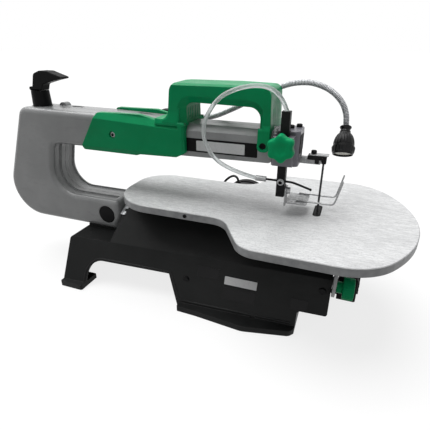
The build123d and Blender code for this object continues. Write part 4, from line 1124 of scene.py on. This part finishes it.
def makeBaseRims():
    line = [(rimSetup["legX"], z) for z in rimSetup["legEnds"]]
    centreX, centreZ = rimSetup["archMiddle"]
    for degree in range(180, 85, -10):
        angle = math.radians(degree)
        line.append((centreX + rimSetup["archRadius"] * math.cos(angle),
                     centreZ + rimSetup["archRadius"] * math.sin(angle)))
    line += [(x, rimSetup["beamZ"]) for x in rimSetup["beamX"]] + rimSetup["body"]
    for name, side in (("baseRimLeft", -1), ("baseRimRight", 1)):
        path = []
        for x, z in line:
            place, normal = seatOn("base_casting", (x / 1000, side * 0.3, z / 1000), (0, -side, 0))
            path.append(place - normal * rimSetup["sunk"])
        work = bmesh.new()
        sweptTube(work, path, [rimSetup["radius"]] * len(path), 12)
        addPiece(name, work, 50, "frame", "base_black")


flareSetup = {
    # fills the step between cover and handle with a soft slope, millimetres
    "low": 246.6,
    "high": 266.0,
    "grip": 31.0,
    "proud": 2.1,
    "arcMiddle": (-6.2, 263.2),
    "arcRadius": 12.4,
    "right": 21.0,
    "rows": 12,
    "columns": 14,
    "rimSlope": 7,      # how steeply the sides of the slope fall to its seat
    "swell": 1.4,
    "sunk": 0.25,
    "deep": 1.2,
}


def makeHandleFlares():
    rows, columns, grip = flareSetup["rows"], flareSetup["columns"], flareSetup["grip"]
    centreX, centreZ = flareSetup["arcMiddle"]
    for name, side in (("handleFlareLeft", -1), ("handleFlareRight", 1)):
        work = bmesh.new()
        near, far = [], []
        for i in range(rows):
            up = i / (rows - 1)
            z = flareSetup["low"] + (flareSetup["high"] - flareSetup["low"]) * up
            drop = max(0.0, centreZ - z)
            left = centreX + math.sqrt(max(0.0, flareSetup["arcRadius"] ** 2 - drop ** 2))
            for j in range(columns):
                across = j / (columns - 1)
                x = left + (flareSetup["right"] - left) * across
                rim = min(1.0, min(across, 1 - across) * flareSetup["rimSlope"])
                proud = flareSetup["proud"] * (1 - up) ** flareSetup["swell"] * math.sin(rim * math.pi / 2)
                near.append(work.verts.new(Vector((x, side * (grip + proud - flareSetup["sunk"]), z)) / 1000))
                far.append(work.verts.new(Vector((x, side * (grip - flareSetup["deep"]), z)) / 1000))
        for i in range(rows - 1):
            for j in range(columns - 1):
                a, b = i * columns + j, i * columns + j + 1
                c, d = b + columns, a + columns
                work.faces.new((near[a], near[b], near[c], near[d]))
                work.faces.new((far[d], far[c], far[b], far[a]))
        border = list(range(columns)) + [i * columns + columns - 1 for i in range(1, rows)]
        border += [(rows - 1) * columns + j for j in range(columns - 2, -1, -1)]
        border += [i * columns for i in range(rows - 2, 0, -1)]
        for a, b in zip(border, border[1:] + border[:1]):
            work.faces.new((near[b], near[a], far[a], far[b]))
        addPiece(name, work, 50, "frame", "cover_green")


webSetup = {
    "section": [(-27.0, 101.5), (-19.5, 97.5), (-1.0, 107.2), (-6.5, 112.3)],    # y and z, millimetres
    "rear": -89.0,
    "front": -80.5,
    "bevel": 0.0008,
}


def makeWebs():
    work = bmesh.new()
    for side in (1, -1):
        rear, front = ([Vector((x, side * y, z)) / 1000 for y, z in webSetup["section"]]
                       for x in (webSetup["rear"], webSetup["front"]))
        prism(work, rear, front)
    bmesh.ops.bevel(work, geom=list(work.edges), offset=webSetup["bevel"], segments=2, profile=0.6, affect="EDGES",
                    clamp_overlap=True)
    addPiece("limbWebs", work, 40, "frame", "clamp_silver", stands="limb_clamps")


insertSetup = {
    "thick": 0.0026,
    "corner": 0.0046,
    "play": 0.0003,
    "slotSize": (0.0105, 0.0030),
    "slotCorner": 0.0014,
    "slotShift": -0.0030,
    "screwSunk": 0.0012,
    "screw": [(0.0026, -0.0050), (0.0026, 0.0008), (0.0023, 0.0011), (0.0016, 0.0011), (0.0014, 0.0009, hexShape),
              (0.0013, 0.0, hexShape)],
}


def makeInsert():
    low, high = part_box("table_insert")
    thick, play, up = insertSetup["thick"], insertSetup["play"], Vector((0, 0, 1))
    place = boxFace("table_insert", 2, 1)
    plate = thinPlate("insertPlate", place - up * thick, up, (0, 1, 0), high.y - low.y - play,
                      high.x - low.x - play, thick, insertSetup["corner"])
    rideAs(plate, "table", "black_plastic", stands="table_insert")
    # a thin sheet of painted shade where the blade's slot is
    spot = Vector((place.x, insertSetup["slotShift"], high.z - 0.0002))
    slot = thinPlate("insertSlot", spot, up, (0, 1, 0), *insertSetup["slotSize"], play, insertSetup["slotCorner"])
    rideAs(slot, "table", "black_plastic", socketShade)
    place = boxFace("table_edge_screw", 1, 0) + Vector((0, insertSetup["screwSunk"], 0))
    work = bmesh.new()
    turned(work, place, (0, -1, 0), insertSetup["screw"], 24, shadeFrom=4)
    addPiece("tableEdgeScrew", work, 30, "table", "steel", finishes["black_steel"], "table_edge_screw", socketShade)


springSetup = {
    "coils": 4.5,
    "stepsPerCoil": 20,
    "radius": 0.0023,
    "wire": 0.00062,
    "ends": 0.0014,
}


def makeClipSpring():
    low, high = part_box("arm_clip")
    middle = (low + high) / 2
    tall = high.z - low.z - springSetup["ends"]
    steps = int(springSetup["coils"] * springSetup["stepsPerCoil"])
    radius = springSetup["radius"]
    path = []
    for i in range(steps + 1):
        turn = 2 * math.pi * i / springSetup["stepsPerCoil"]
        path.append(middle + Vector((radius * math.cos(turn), radius * math.sin(turn), tall * (i / steps - 0.5))))
    work = bmesh.new()
    sweptTube(work, path, [springSetup["wire"]] * len(path), 10)
    addPiece("clipSpring", work, 50, "frame", "steel", stands="arm_clip")


bladeSetup = {
    "toothPitch": 0.0017,
    "toothDepth": 0.0006,
    "toothTip": 0.25,      # shares of the pitch
    "toothRoot": 0.9,
}


def makeBlade():
    low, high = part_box("blade")
    root = high.x - bladeSetup["toothDepth"]
    count = round((high.z - low.z) / bladeSetup["toothPitch"])
    step = (high.z - low.z) / count
    outline = [(low.x, low.z)]
    for i in range(count):
        start = low.z + step * i
        outline += [(root, start), (high.x, start + step * bladeSetup["toothTip"]),
                    (root, start + step * bladeSetup["toothRoot"])]
    outline += [(root, high.z), (low.x, high.z)]
    work = bmesh.new()
    prism(work, [(x, low.y, z) for x, z in outline], [(x, high.y, z) for x, z in outline])
    addPiece("toothedBlade", work, 20, "blade_carrier", "blade_steel", stands="blade")


print("screws and lamp")
makeScrews()
makeLamp()
print("knobs and controls")
makeStarKnob()
makeLockKnob()
makeControls()
print("blade, clamp and foot")
makeHolder()
makeFoot()
makeBlade()
print("plates, rims and webs")
makePlates(armPlates)
makePlates(basePlates)
makeBaseRims()
makeHandleFlares()
makeWebs()
makeInsert()
makePlates(nosePlates)
makeClipSpring()

print("light and floor")
addWorld()
addFloor()
addSun("topLight", lightSetup["topAim"], lightSetup["topStrength"], lightSetup["topSoftness"])
addSun("frontLight", lightSetup["fillAim"], lightSetup["fillStrength"], lightSetup["fillSoftness"])
scene.view_settings.view_transform = "Standard"

bpy.context.view_layer.update()
